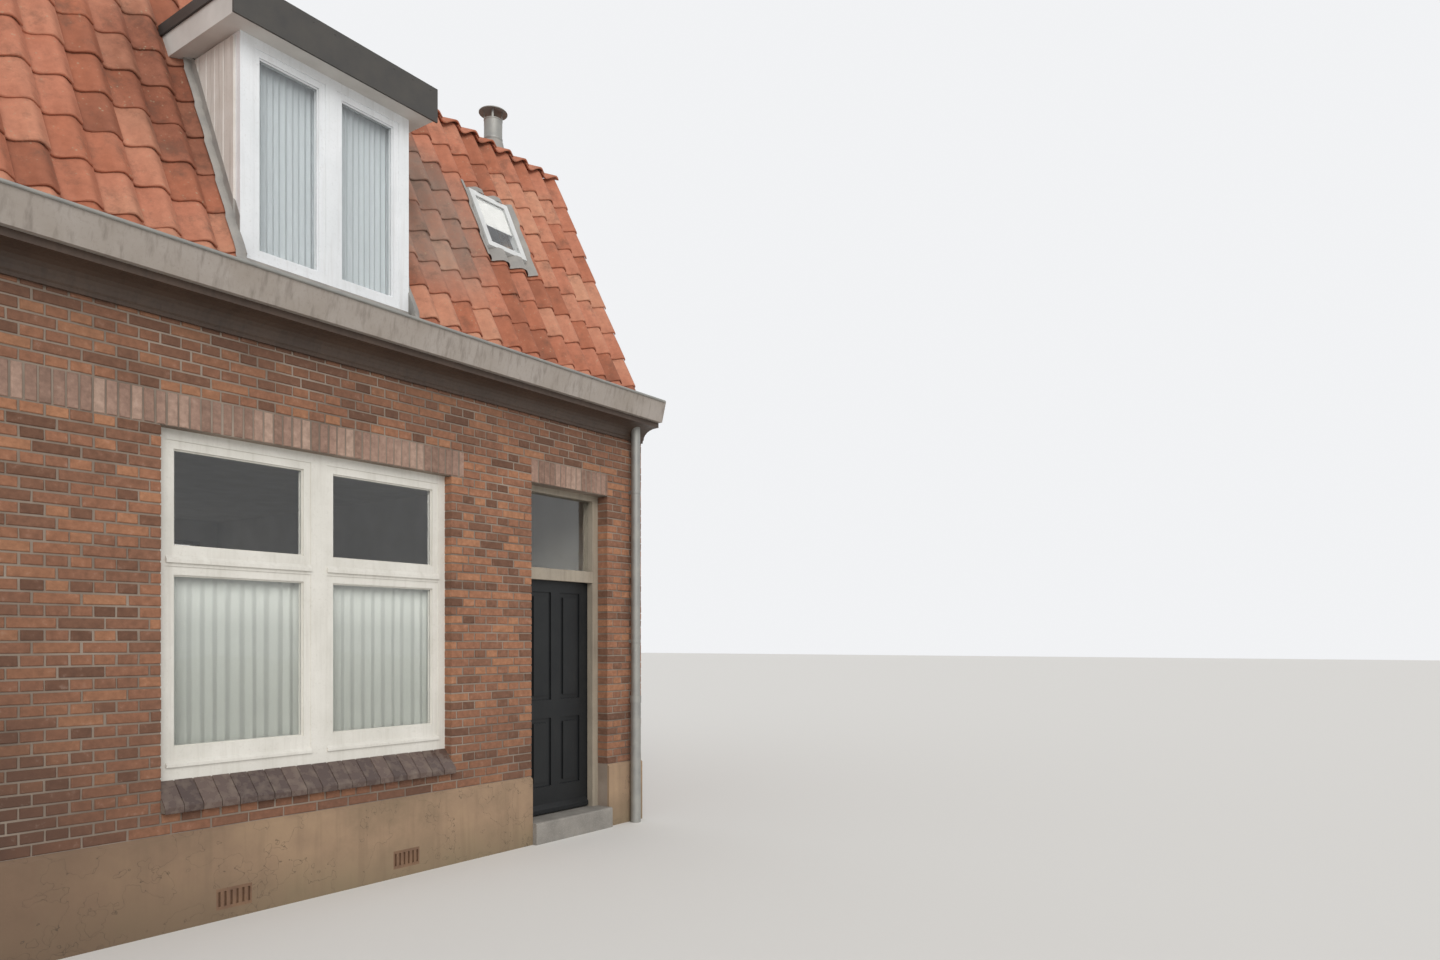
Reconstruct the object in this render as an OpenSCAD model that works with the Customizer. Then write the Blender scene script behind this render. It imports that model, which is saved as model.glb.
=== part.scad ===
/* [House] */
// Width over the outer faces of the two party walls
house_w = 5600; // [5400:50:6400]
// Depth from the street face to the back face
house_d = 7000; // [6400:100:9000]
// Height of the brick front above the ground
wall_h = 3520; // [3450:10:3900]
// Thickness of the brick walls
wall_t = 220; // [210:5:260]
// Thickness of the ground floor
ground_floor_t = 150; // [100:10:165]
// Height of the attic floor's top above the ground
attic_z = 3300; // [3200:10:3400]
// Thickness of the attic floor
attic_t = 200; // [140:10:240]

/* [Front] */
// Brick pier between the front door and the right party line
end_pier_w = 450; // [420:10:600]
// Brick pier between the window and the front door
mid_pier_w = 780; // [600:10:900]
// Height of the pale plinth
plinth_h = 532; // [400:2:600]
// How far the plinth stands out of the brick face
plinth_out = 20; // [10:1:30]
// Width of an air brick
air_brick_w = 210; // [150:5:260]
// Height of an air brick
air_brick_h = 120; // [90:5:160]
// Height of an air brick's lower edge above the ground
air_brick_z = 60; // [30:5:150]
// Distance of each air brick's centre from its side of the window
air_brick_inset = 400; // [300:10:600]
// Upright slots in an air brick
air_brick_slots = 6; // [3:1:8]
// Height of the soldier course over an opening
lintel_h = 187; // [150:1:220]
// Depth of the soldier course into the wall
lintel_d = 105; // [90:5:110]
// Length of the window's soldier course past its right side
lintel_bearing = 110; // [60:10:160]

/* [Window] */
// Width of the window opening
window_w = 1990; // [1700:10:2100]
// Height of the window
window_h = 1959; // [1700:10:2050]
// Height of the window's foot above the ground
window_z = 816; // [800:5:860]
// Depth of the frame's face behind the brick face
window_recess = 70; // [50:5:90]
// Depth of the window frames
frame_d = 110; // [90:5:115]
// Face width of the frame's sides
jamb_w = 60; // [45:1:80]
// Face width of the mullion between the two bays
mullion_w = 110; // [80:1:140]
// Height of the frame's foot
frame_foot_h = 75; // [50:1:100]
// Height of the frame's head
frame_head_h = 60; // [45:1:80]
// Height of the transom bar
transom_h = 66; // [50:1:90]
// Height of the top lights between transom bar and head
top_light_h = 637; // [450:5:700]
// Thickness of the sashes
sash_t = 44; // [36:1:54]
// Width of the step cut round the glass on the sash face
glass_step_w = 9; // [5:1:14]
// Depth of the step cut round the glass
glass_step_d = 12; // [8:1:15]
// Height of the weather bar at a lower sash's foot
drip_h = 34; // [24:1:45]
// How far the weather bars reach out of the frame face
drip_out = 14; // [8:1:20]
// Depth of the sash face behind the frame face
sash_back = 6; // [2:1:15]
// Face width of the sash stiles and top rails
stile_w = 56; // [40:1:70]
// Height of the lower sashes' bottom rail
bottom_rail_h = 118; // [60:1:140]
// Thickness of the glass
glass_t = 6; // [4:1:10]
// Height of the glazed sill tiles below the frame
sill_h = 160; // [120:5:190]
// How far the sill tiles reach out of the brick face
sill_out = 45; // [30:5:60]
// Thickness of the sill tiles at their nose
sill_nose = 26; // [18:1:35]

/* [Front door] */
// Width of the doorway in the brickwork
door_w = 900; // [880:10:1000]
// Height of the doorstep
step_h = 170; // [170:5:190]
// How far the doorstep reaches out of the brick face
step_out = 60; // [40:5:150]
// Radius of the doorstep's worn nosing
step_nose = 18; // [8:1:30]
// Height of the doorway above the step
doorway_h = 2667; // [2657:5:2750]
// Depth of the door frame's face behind the brick face
door_recess = 110; // [60:5:110]
// Face width of the door frame's posts
door_post_w = 67; // [60:1:80]
// Width of the stop that the leaf shuts against
door_stop_w = 15; // [10:1:20]
// Height of the bar between leaf and fanlight
door_transom_h = 80; // [60:1:100]
// Height of the fanlight's glass
fanlight_h = 605; // [450:5:650]
// Height of the leaf's room above the step
leaf_room_h = 1935; // [1850:5:1960]
// Thickness of the door leaf
leaf_t = 45; // [38:1:54]
// Gap round the door leaf
leaf_gap = 6; // [5.5:0.5:8]
// Gap under the door leaf
leaf_under = 8; // [6:1:15]
// Width of the leaf's stiles
leaf_stile_w = 105; // [90:1:120]
// Bevel across the leaf's thickness on its lock side
leaf_bevel = 4; // [3:0.5:8]
// Height of the leaf's bottom rail
leaf_foot_h = 220; // [160:5:260]
// Height of the leaf's middle rail
leaf_rail_h = 150; // [110:5:180]
// Height of the lower panels
low_panel_h = 560; // [450:10:650]
// Depth of the panels' recess on each face
panel_in = 12; // [6:1:14]
// Width of the sunk margin round each panel's raised field
panel_margin = 38; // [25:1:50]
// How far the weatherboard reaches out of the leaf's foot
weatherboard_out = 28; // [20:1:34]
// Height of the weatherboard
weatherboard_h = 70; // [50:1:90]
// Gap between the weatherboard and each side of the door frame
weatherboard_gap = 12; // [10:1:20]
// Radius of the door knobs
knob_r = 28; // [22:1:32]
// Height of the door knobs above the step
knob_z = 960; // [900:10:1020]
// Radius of the hinge barrels
barrel_r = 9; // [8:0.5:11]
// Radius of the hinge pins
pin_r = 5; // [4:0.5:6]
// Height of one hinge barrel
barrel_h = 55; // [40:1:70]
// Radial clearance of a hinge pin in its barrel
pin_clear = 0.08; // [0.05:0.01:0.1]

/* [Eaves] */
// Height of the dark cornice
cornice_h = 160; // [120:5:180]
// How far the cornice reaches out of the brick face
cornice_out = 205; // [170:5:225]
// Height of the gutter's box
gutter_h = 180; // [150:5:200]
// How far the gutter's top edge reaches out of the brick face
gutter_out = 290; // [260:5:320]
// How far the gutter's front leans outwards over its height
gutter_lean = 45; // [20:5:60]
// Thickness of the gutter's boards
gutter_t = 22; // [16:1:30]
// Height of the gutter's back board, which ends under the tiles' tails
gutter_back_h = 75; // [60:5:90]
// Radius of the downpipe
pipe_r = 40; // [35:1:45]
// Distance of the downpipe's axis from the brick face
pipe_off = 75; // [70:1:90]
// Distance of the downpipe's axis from the right party line
pipe_in = 160; // [100:10:250]
// Height of the thicker cast foot of the downpipe
pipe_foot_h = 1050; // [600:50:1300]

/* [Roof] */
// Height of the roof's foot line above the wall top
eave_up = 130; // [100:5:160]
// Depth of the steep lower slope, measured level
break_in = 1100; // [950:10:1250]
// Height of the steep lower slope
break_h = 2350; // [2200:10:2500]
// Height of the ridge above the break between the slopes
ridge_h = 1250; // [1000:10:1500]
// Thickness of the roof, square to the slope
roof_t = 100; // [80:5:160]
// Number of pantile columns over the width of the house
tile_columns = 28; // [24:1:32]
// Height of the pantiles' rolls
roll_h = 44; // [36:2:50]
// Radius of the ridge tiles
ridge_r = 120; // [100:5:140]
// Length of one ridge tile
ridge_tile_l = 350; // [280:10:450]
// Length of the collar where two ridge tiles meet
collar_l = 48; // [30:1:60]

/* [Dormer] */
// Width of the dormer front
dormer_w = 1200; // [1000:10:1400]
// Distance of the dormer's right side from the right party line
dormer_in = 2420; // [2300:10:2600]
// Depth of the dormer front behind the brick face
dormer_back = 100; // [80:5:140]
// Height of the dormer's foot above the roof's foot line
dormer_up = 170; // [130:5:180]
// Height of the dormer front
dormer_h = 1400; // [1200:10:1450]
// Face width of the dormer's corner posts
dormer_post_w = 80; // [60:1:100]
// Face width of the dormer's mullion
dormer_mullion_w = 80; // [60:1:100]
// Thickness of the dormer's side cheeks
cheek_t = 70; // [50:5:80]
// Height of the dormer's roof deck
deck_h = 185; // [140:5:220]
// How far the dormer's roof reaches past the front
deck_over = 140; // [100:5:180]
// How far the dormer's roof reaches past each side
deck_side = 110; // [70:5:140]
// Thickness of the dark metal round the deck
edge_t = 14; // [8:1:20]
// Height of the dark metal above the deck
edge_up = 35; // [20:5:50]
// Height of the drip below the deck
edge_drop = 12; // [6:1:20]
// Height of the dark metal on the deck's sides
edge_side_h = 70; // [60:5:120]

/* [Roof window] */
// Width of the roof window
skylight_w = 420; // [350:10:500]
// Length of the roof window along the slope
skylight_l = 580; // [450:10:650]
// Distance of its centre from the right party line
skylight_in = 1140; // [1000:10:1400]
// Distance of its centre from the roof's foot along the slope
skylight_s = 1540; // [1300:10:1750]
// Width of its rim
skylight_rim = 52; // [40:1:70]
// Height of its rim above the roof
skylight_up = 60; // [40:5:90]

/* [Flue] */
// Radius of the flue pipe
flue_r = 85; // [60:1:95]
// Wall of the flue pipe
flue_wall = 6; // [4:1:10]
// Distance of the flue from the right party line
flue_in = 380; // [340:10:480]
// Depth of the flue behind the brick face
flue_back = 1500; // [1450:10:1900]
// Height of the flue pipe above the roof
flue_up = 330; // [250:10:600]
// Side of the lead sheet round the flue
lead_l = 380; // [340:10:400]
// Thickness of the lead sheet
lead_t = 5; // [3:1:8]
// Radius of the flue's cap
cap_r = 135; // [130:5:160]
// Gap between the flue pipe and the roof's hole
flue_gap = 4; // [2:0.5:8]
// Gap between the flue's mouth and its cap
cap_gap = 70; // [50:5:100]

/* [Hidden] */

$fn = 48;
past = 20;
fit_gap = 0.3;
slope_gap = 0.05;

half_w = house_w / 2;
half_d = house_d / 2;
face_y = -half_d;
room_y = face_y + wall_t;
room_x = half_w - wall_t;

door_x1 = half_w - end_pier_w;
door_x0 = door_x1 - door_w;
door_z1 = step_h + doorway_h;
win_x1 = door_x0 - mid_pier_w;
win_x0 = win_x1 - window_w;
win_z1 = window_z + window_h;

brick = "#8e6d5a";
plinth_grey = "#998067";
white_paint = "#d0cec6";
black_paint = "#2d2e2a";
zinc = "#8f8f8c";
tile_red = "#b07964";
clear_glass = "#9aa3a6";

// A box between two opposite corners
module block(low, high) {
    translate(low) cube(high - low);
}

// Extrudes a [y, z] outline along the street, from x0 to x1
module across(x0, x1) {
    translate([x0, 0, 0]) rotate([90, 0, 90]) linear_extrude(x1 - x0) children();
}

// The same piece on the back wall
module at_back() {
    mirror([0, 1, 0]) children();
}

// A box of brickwork as thick as the front wall
module brickwork(x0, x1, z0, z1) {
    block([x0, face_y, z0], [x1, room_y, z1]);
}

// A soldier course, or with grow the room cut for it in the brick face
module soldier_box(x0, x1, z, grow = 0) {
    block([x0, face_y - grow, z], [x1, face_y + lintel_d, z + lintel_h]);
}

// The course over the window runs on to the left party line
module window_soldiers(grow = 0) {
    soldier_box(-half_w, win_x1 + lintel_bearing, win_z1, grow);
}

module door_soldiers(grow = 0) {
    soldier_box(door_x0, door_x1, door_z1, grow);
}

// The window's hole, with the lower seat of the sill tiles
module window_hole() {
    block([win_x0, face_y - past, window_z], [win_x1, room_y + past, win_z1]);
    block([win_x0, face_y - past, window_z - sill_h],
          [win_x1, face_y + window_recess, window_z + past]);
}

module wall_beside_door() {
    difference() {
        brickwork(-half_w, door_x0, 0, wall_h);
        window_hole();
        window_soldiers(past);
    }
}

module wall_over_door() {
    difference() {
        brickwork(door_x0, door_x1, door_z1, wall_h);
        door_soldiers(past);
    }
}

module front_wall() {
    color(brick) wall_beside_door();
}

module front_wall_over_door() {
    color(brick) wall_over_door();
}

module front_wall_pier() {
    color(brick) brickwork(door_x1, half_w, 0, wall_h);
}

module back_wall() {
    color(brick) at_back() {
        wall_beside_door();
        wall_over_door();
        brickwork(door_x1, half_w, 0, wall_h);
    }
}

module ground_floor() {
    color("#8a8378") block([-room_x, room_y, 0], [room_x, -room_y, ground_floor_t]);
}

module attic_floor() {
    color("#a58a66") block([-room_x, room_y, attic_z - attic_t], [room_x, -room_y, attic_z]);
}

// Air bricks, plinth, soldier courses and sills

air_x = [win_x0 + air_brick_inset, win_x1 - air_brick_inset];

module air_brick_boxes(out) {
    for (x = air_x)
        block([x - air_brick_w / 2, face_y - out, air_brick_z],
              [x + air_brick_w / 2, face_y, air_brick_z + air_brick_h]);
}

module plinth_run(x0, x1) {
    across(x0, x1) polygon([
        [face_y, 0], [face_y - plinth_out, 0],
        [face_y - plinth_out, plinth_h - plinth_out], [face_y, plinth_h]
    ]);
}

module plinth_side() {
    difference() {
        plinth_run(-half_w, door_x0);
        air_brick_boxes(plinth_out + past);
    }
    plinth_run(door_x1, half_w);
}

module plinth() {
    color(plinth_grey) {
        plinth_side();
        at_back() plinth_side();
    }
}

// Upright slots sunk into the outer face of each air brick
module air_brick_side() {
    pitch = air_brick_w / air_brick_slots;
    slot = [pitch * 0.42, plinth_out * 1.4, air_brick_h * 0.7];
    slot_y = face_y - plinth_out;
    slot_z = air_brick_z + air_brick_h / 2;
    difference() {
        air_brick_boxes(plinth_out);
        for (x = air_x, i = [0 : air_brick_slots - 1])
            translate([x - air_brick_w / 2 + (i + 0.5) * pitch, slot_y, slot_z])
                cube(slot, center = true);
    }
}

module air_bricks() {
    color("#7b614c") {
        air_brick_side();
        at_back() air_brick_side();
    }
}

module soldier_side() {
    window_soldiers();
    door_soldiers();
}

module soldier_courses() {
    color("#94705c") {
        soldier_side();
        at_back() soldier_side();
    }
}

module sill_run() {
    frame_y = face_y + window_recess;
    nose_y = face_y - sill_out;
    foot_z = window_z - sill_h;
    across(win_x0, win_x1) polygon([
        [frame_y, foot_z], [nose_y, foot_z], [nose_y, foot_z + sill_nose], [frame_y, window_z]
    ]);
}

module window_sills() {
    color("#554740") {
        sill_run();
        at_back() sill_run();
    }
}

// Windows: a bay is [x0, x1, z0, z1] and rails is [side, foot, head]

function inset(bay, rails) = [
    bay[0] + rails[0], bay[1] - rails[0], bay[2] + rails[1], bay[3] - rails[2]
];

module slab(bay, y0, y1) {
    block([bay[0], y0, bay[2]], [bay[1], y1, bay[3]]);
}

module sash(bay, rails, y) {
    step = [for (r = rails) r - glass_step_w];
    difference() {
        slab(bay, y, y + sash_t);
        slab(inset(bay, rails), y - past, y + sash_t + past);
        slab(inset(bay, step), y - past, y + glass_step_d);
    }
}

// A bar with a sloped top that throws rain clear, on the face y between x0 and x1
module weather_bar(x0, x1, y, z, out, high) {
    nose_h = high * 0.45;
    across(x0, x1) polygon([[y, z], [y - out, z], [y - out, z + nose_h], [y, z + high]]);
}

module pane(bay, y) {
    slab(bay, y - glass_t / 2, y + glass_t / 2);
}

window_frame_y = face_y + window_recess;
bay_w = (window_w - 2 * jamb_w - mullion_w) / 2;
top_z1 = win_z1 - frame_head_h;
top_z0 = top_z1 - top_light_h;
low_bays = [for (i = [0, 1]) let (x = win_x0 + jamb_w + i * (bay_w + mullion_w))
    [x, x + bay_w, window_z + frame_foot_h, top_z0 - transom_h]];
top_bays = [for (b = low_bays) [b[0], b[1], top_z0, top_z1]];
low_rails = [stile_w, bottom_rail_h, stile_w];
top_rails = [stile_w, stile_w, stile_w];

module window_frame() {
    difference() {
        slab([win_x0, win_x1, window_z, win_z1], window_frame_y, window_frame_y + frame_d);
        for (b = concat(low_bays, top_bays))
            slab(b, window_frame_y - past, window_frame_y + frame_d + past);
    }
    bar_h = transom_h * 0.6;
    bar_z = top_z0 - transom_h * 0.7;
    for (b = top_bays) weather_bar(b[0], b[1], window_frame_y, bar_z, drip_out, bar_h);
}

module window_sashes() {
    y = window_frame_y + sash_back;
    for (b = low_bays) {
        sash(b, low_rails, y);
        weather_bar(b[0], b[1], y, b[2], sash_back + drip_out, drip_h);
    }
    for (b = top_bays) sash(b, top_rails, y);
}

module window_glass() {
    y = window_frame_y + sash_back + sash_t / 2;
    for (b = low_bays) pane(inset(b, low_rails), y);
    for (b = top_bays) pane(inset(b, top_rails), y);
}

module front_window_frame() {
    color(white_paint) window_frame();
}

module front_window_sashes() {
    color(white_paint) window_sashes();
}

module front_window_glass() {
    color(clear_glass, 0.5) window_glass();
}

module back_window_frame() {
    color(white_paint) at_back() window_frame();
}

module back_window_sashes() {
    color(white_paint) at_back() window_sashes();
}

module back_window_glass() {
    color(clear_glass, 0.5) at_back() window_glass();
}

// Doors: the leaf shuts from inside against the stop of the frame

door_frame_y = face_y + door_recess;
leaf_y1 = room_y;
leaf_y0 = leaf_y1 - leaf_t;
rebate_y = leaf_y0 - leaf_gap;
rebate_w = door_post_w - door_stop_w;
leaf_x0 = door_x0 + rebate_w + leaf_gap;
leaf_x1 = door_x1 - rebate_w - leaf_gap;
leaf_z0 = step_h + leaf_under;
rebate_z1 = step_h + leaf_room_h;
leaf_z1 = rebate_z1 - leaf_gap;
fan_z0 = rebate_z1 + door_transom_h;
fan_bay = [door_x0 + door_post_w, door_x1 - door_post_w, fan_z0, fan_z0 + fanlight_h];

module door_frame() {
    difference() {
        slab([door_x0, door_x1, step_h, door_z1], door_frame_y, room_y);
        slab([door_x0 + door_post_w, door_x1 - door_post_w, step_h - past, rebate_z1 - door_stop_w],
             door_frame_y - past, room_y + past);
        slab([door_x0 + rebate_w, door_x1 - rebate_w, step_h - past, rebate_z1],
             rebate_y, room_y + past);
        slab(fan_bay, door_frame_y - past, room_y + past);
    }
}

module fanlight() {
    pane(fan_bay, (door_frame_y + room_y) / 2);
}

module doorstep() {
    nose_y = face_y - step_out;
    across(door_x0, door_x1) polygon(concat(
        [[room_y, 0], [nose_y, 0]],
        [for (a = [0 : 15 : 90]) [nose_y + step_nose * (1 - cos(a)), step_h - step_nose * (1 - sin(a))]],
        [[room_y, step_h]]
    ));
}

module front_door_frame() {
    color("#918373") door_frame();
}

module back_door_frame() {
    color("#918373") at_back() door_frame();
}

module fanlights() {
    color(clear_glass, 0.5) {
        fanlight();
        at_back() fanlight();
    }
}

module doorsteps() {
    color("#85807a") {
        doorstep();
        at_back() doorstep();
    }
}

weatherboard_up = 6;
panel_w = (leaf_x1 - leaf_x0 - 3 * leaf_stile_w) / 2;
panel_cols = [for (i = [0, 1]) leaf_x0 + leaf_stile_w + i * (panel_w + leaf_stile_w)];
low_panel_z = leaf_z0 + leaf_foot_h;
high_panel_z = low_panel_z + low_panel_h + leaf_rail_h;
panel_rows = [[low_panel_z, low_panel_z + low_panel_h], [high_panel_z, leaf_z1 - leaf_stile_w]];

// A sunk margin with a raised field inside it, square to the leaf's face
module panel_margin_ring(x, row) {
    bay = [x, x + panel_w, row[0], row[1]];
    difference() {
        slab(bay, -panel_in, panel_in);
        slab(inset(bay, [panel_margin, panel_margin, panel_margin]), -past, past);
    }
}

module door_leaf() {
    difference() {
        translate([0, 0, leaf_z0]) linear_extrude(leaf_z1 - leaf_z0) polygon([
            [leaf_x0 + leaf_bevel, leaf_y0], [leaf_x1, leaf_y0], [leaf_x1, leaf_y1], [leaf_x0, leaf_y1]
        ]);
        for (y = [leaf_y0, leaf_y1], x = panel_cols, row = panel_rows)
            translate([0, y, 0]) panel_margin_ring(x, row);
    }
    weather_bar(door_x0 + door_post_w + weatherboard_gap, door_x1 - door_post_w - weatherboard_gap,
                leaf_y0, leaf_z0 + weatherboard_up, weatherboard_out, weatherboard_h);
}

module front_door_leaf() {
    color(black_paint) door_leaf();
}

// The back door stays shut, so its leaf bears on the stop of the frame
module back_door_leaf() {
    color(black_paint) at_back() translate([0, -leaf_gap, 0]) door_leaf();
}

// Outline of a knob on its rose, as [radius, distance from the leaf]
neck_r = 9;
neck_l = 26;
rose = [[0, 0], [knob_r, 0], [knob_r, 4], [knob_r * 0.85, 7], [neck_r, 9], [neck_r, neck_l]];
bulb_h = knob_r * 0.62;
bulb_start = 50;
knob_outline = concat(
    rose,
    [for (a = [-bulb_start : 20 : 90])
        [knob_r * cos(a), neck_l + bulb_h * (sin(a) + sin(bulb_start))]],
    [[0, neck_l + bulb_h * (1 + sin(bulb_start))]]
);
knob_x = leaf_x0 + leaf_stile_w / 2;

module knob() {
    rotate_extrude() polygon(knob_outline);
}

module front_door_knobs() {
    z = step_h + knob_z;
    color("#8d8878") {
        translate([knob_x, leaf_y0, z]) rotate([90, 0, 0]) knob();
        translate([knob_x, leaf_y1, z]) rotate([-90, 0, 0]) knob();
    }
}

// Lift-off hinges on the room side: a fixed pin below, a barrel on the leaf above
hinge_stand = 1.5;
flap_w = 30;
flap_t = 3;
hinge_x = leaf_x1 + leaf_gap / 2;
hinge_y = room_y + barrel_r + hinge_stand;
hinge_places = [0.13, 0.5, 0.87];
hinge_zs = [for (k = hinge_places) leaf_z0 + k * (leaf_z1 - leaf_z0)];

module flap(side, z0) {
    x = hinge_x + side * flap_w;
    block([min(hinge_x, x), room_y, z0], [max(hinge_x, x), room_y + flap_t, z0 + barrel_h]);
}

module front_hinge_pins() {
    pin_l = barrel_h * 1.8;
    color(zinc) for (z = hinge_zs) {
        translate([hinge_x, hinge_y, z - barrel_h]) cylinder(r = barrel_r, h = barrel_h);
        translate([hinge_x, hinge_y, z - barrel_h]) cylinder(r = pin_r, h = pin_l);
        flap(1, z - barrel_h);
    }
}

module front_door_hinges() {
    color(zinc) for (z = hinge_zs) difference() {
        union() {
            translate([hinge_x, hinge_y, z + fit_gap]) cylinder(r = barrel_r, h = barrel_h);
            flap(-1, z + fit_gap);
        }
        translate([hinge_x, hinge_y, z - past])
            cylinder(r = pin_r + pin_clear, h = barrel_h + 2 * past);
    }
}

// Roof: two slopes on each side, joined at a break

eave_z = wall_h + eave_up;
break_y = face_y + break_in;
break_z = eave_z + break_h;
ridge_z = break_z + ridge_h;
low_angle = atan2(break_h, break_in);
high_angle = atan2(ridge_h, -break_y);

// Height of the lower slope's face at a depth y, and the depth at a height z
function slope_z(y) = eave_z + (y - face_y) * tan(low_angle);
function slope_y(z) = face_y + (z - eave_z) / tan(low_angle);

low_normal = [sin(low_angle), -cos(low_angle)];
high_normal = [sin(high_angle), -cos(high_angle)];
break_in_pt = [break_y, break_z]
    + (low_normal + high_normal) * roof_t / (1 + low_normal * high_normal);
ridge_in_pt = [0, ridge_z - roof_t / cos(high_angle)];
foot_in_pt = [slope_y(wall_h) + roof_t / sin(low_angle), wall_h];

module lower_slope() {
    across(-half_w, half_w) polygon([
        [face_y, wall_h], foot_in_pt, break_in_pt, [break_y, break_z], [face_y, eave_z]
    ]);
}

module upper_slope() {
    across(-half_w, half_w) polygon([
        [break_y, break_z], break_in_pt, ridge_in_pt, [0, ridge_z]
    ]);
}

// Everything under the roof's outer faces, to trim what stands on them
module roof_envelope() {
    across(-half_w - past, half_w + past) polygon([
        [face_y, wall_h], [face_y, eave_z], [break_y, break_z], [0, ridge_z],
        [-break_y, break_z], [-face_y, eave_z], [-face_y, wall_h]
    ]);
}

// A spot on the front slope, s up from its foot: local Z stands square to the slope
module on_lower_slope(x, s) {
    translate([x, face_y, eave_z]) rotate([low_angle, 0, 0]) translate([0, s, slope_gap]) children();
}

module on_upper_slope(x, y) {
    z = break_z + (y - break_y) * tan(high_angle);
    translate([x, y, z]) rotate([high_angle, 0, 0]) translate([0, 0, slope_gap]) children();
}

// Pantile rolls: ribs that run up a slope, trimmed to the house's width
tile_pitch = house_w / tile_columns;
roll_root = 10;
roll_gap = 10;
roll_foot_gap = 30;

// Places of a roll's foot, shoulders and foot, as shares of its column
roll_places = [0.44, 0.72, 1, 1.19];

module rolls(start, end) {
    u = tile_pitch * roll_places;
    left_sink = (u[1] - u[0]) * roll_root / roll_h;
    right_sink = (u[3] - u[2]) * roll_root / roll_h;
    translate([0, end, 0]) rotate([90, 0, 0]) linear_extrude(end - start)
        intersection() {
            translate([-half_w, -roll_root]) square([house_w, roll_root + roll_h]);
            for (i = [-1 : tile_columns - 1]) translate([-half_w + i * tile_pitch, 0]) polygon([
                [u[0] - left_sink, -roll_root], [u[1], roll_h], [u[2], roll_h],
                [u[3] + right_sink, -roll_root]
            ]);
        }
}

// These start far enough up to leave the gutter's trough open
module lower_rolls() {
    on_lower_slope(0, 0) rolls(roll_foot_gap, norm([break_in, break_h]) - roll_gap);
}

// These end short of the ridge tiles
module upper_rolls() {
    on_upper_slope(0, break_y)
        rolls(roll_gap, norm([break_y, ridge_h]) - ridge_r / cos(high_angle) - 2 * roll_gap);
}

// The room that a rectangle on a slope takes out of the rolls
module roll_room(w, l) {
    translate([-w / 2 - roll_gap, -l / 2 - roll_gap, -roof_t])
        cube([w + 2 * roll_gap, l + 2 * roll_gap, 2 * roof_t]);
}

module left_party_wall() {
    color(brick) party_wall(-half_w);
}

module right_party_wall() {
    color(brick) party_wall(half_w - wall_t);
}

module party_wall(x) {
    half = [[room_y, 0], [room_y, wall_h], foot_in_pt, break_in_pt, ridge_in_pt];
    back = [for (i = [len(half) - 2 : -1 : 0]) [-half[i][0], half[i][1]]];
    across(x, x + wall_t) polygon(concat(half, back));
}

dormer_x1 = half_w - dormer_in;
dormer_x0 = dormer_x1 - dormer_w;
dormer_z0 = eave_z + dormer_up;
dormer_z1 = dormer_z0 + dormer_h;
dormer_y0 = face_y + dormer_back;
dormer_y1 = dormer_y0 + frame_d;
skylight_x = half_w - skylight_in;
flue_x = half_w - flue_in;
flue_y = face_y + flue_back;

module dormer_hole() {
    block([dormer_x0, face_y - past, dormer_z0], [dormer_x1, dormer_y1, dormer_z1]);
    block([dormer_x0 + cheek_t, dormer_y0, dormer_z0],
          [dormer_x1 - cheek_t, slope_y(dormer_z1) + 3 * roof_t, dormer_z1]);
}

module skylight_hole() {
    w = skylight_w - 2 * skylight_rim;
    l = skylight_l - 2 * skylight_rim;
    on_lower_slope(skylight_x, skylight_s)
        translate([-w / 2, -l / 2, -roof_t - past]) cube([w, l, roof_t + skylight_up + 2 * past]);
}

// The rolls end at the dormer's front and cheeks, and further up at its wider deck
module dormer_room() {
    side = deck_side + edge_t + roll_gap;
    block([dormer_x0 - roll_gap, face_y - past - roll_h, dormer_z0 - roll_h],
          [dormer_x1 + roll_gap, break_y, dormer_z1]);
    block([dormer_x0 - side, face_y - past - roll_h, dormer_z1 - edge_drop - roll_gap],
          [dormer_x1 + side, break_y, dormer_z1 + deck_h + edge_up + roll_gap]);
}

module roof_front_lower() {
    color(tile_red) {
        difference() {
            lower_slope();
            dormer_hole();
            skylight_hole();
        }
        difference() {
            lower_rolls();
            dormer_room();
            on_lower_slope(skylight_x, skylight_s) roll_room(skylight_w, skylight_l);
        }
    }
}

module roof_front_upper() {
    color(tile_red) {
        difference() {
            upper_slope();
            translate([flue_x, flue_y, eave_z]) cylinder(r = flue_r + flue_gap, h = ridge_z);
        }
        difference() {
            upper_rolls();
            on_upper_slope(flue_x, flue_y) roll_room(lead_l, lead_l);
        }
    }
}

module roof_back_lower() {
    color(tile_red) at_back() {
        lower_slope();
        lower_rolls();
    }
}

module roof_back_upper() {
    color(tile_red) at_back() {
        upper_slope();
        upper_rolls();
    }
}

module ridge_tiles() {
    count = round(house_w / ridge_tile_l);
    pitch = house_w / count;
    centre_z = ridge_z - ridge_r * 0.15;
    trim_z = ridge_z - ridge_r * 0.7;
    collar_r = ridge_r + 12;
    color("#a5654a") difference() {
        translate([-half_w, 0, centre_z]) rotate([0, 90, 0]) {
            cylinder(r = ridge_r, h = house_w);
            for (i = [0 : count - 1])
                translate([0, 0, i * pitch]) cylinder(r = collar_r, h = collar_l);
        }
        roof_envelope();
        block([-half_w - past, -house_d, wall_h], [half_w + past, house_d, trim_z]);
    }
}

// Eaves: a moulded cornice under a wooden box gutter

cornice_z = wall_h - cornice_h;
gutter_y = face_y - gutter_out;

// Each as [distance out, height]: the fillet at the wall, the curve's start, the lip at the top
fillet = [25, 18];
curve_start = [35, 28];
lip = [25, 42];

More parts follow.
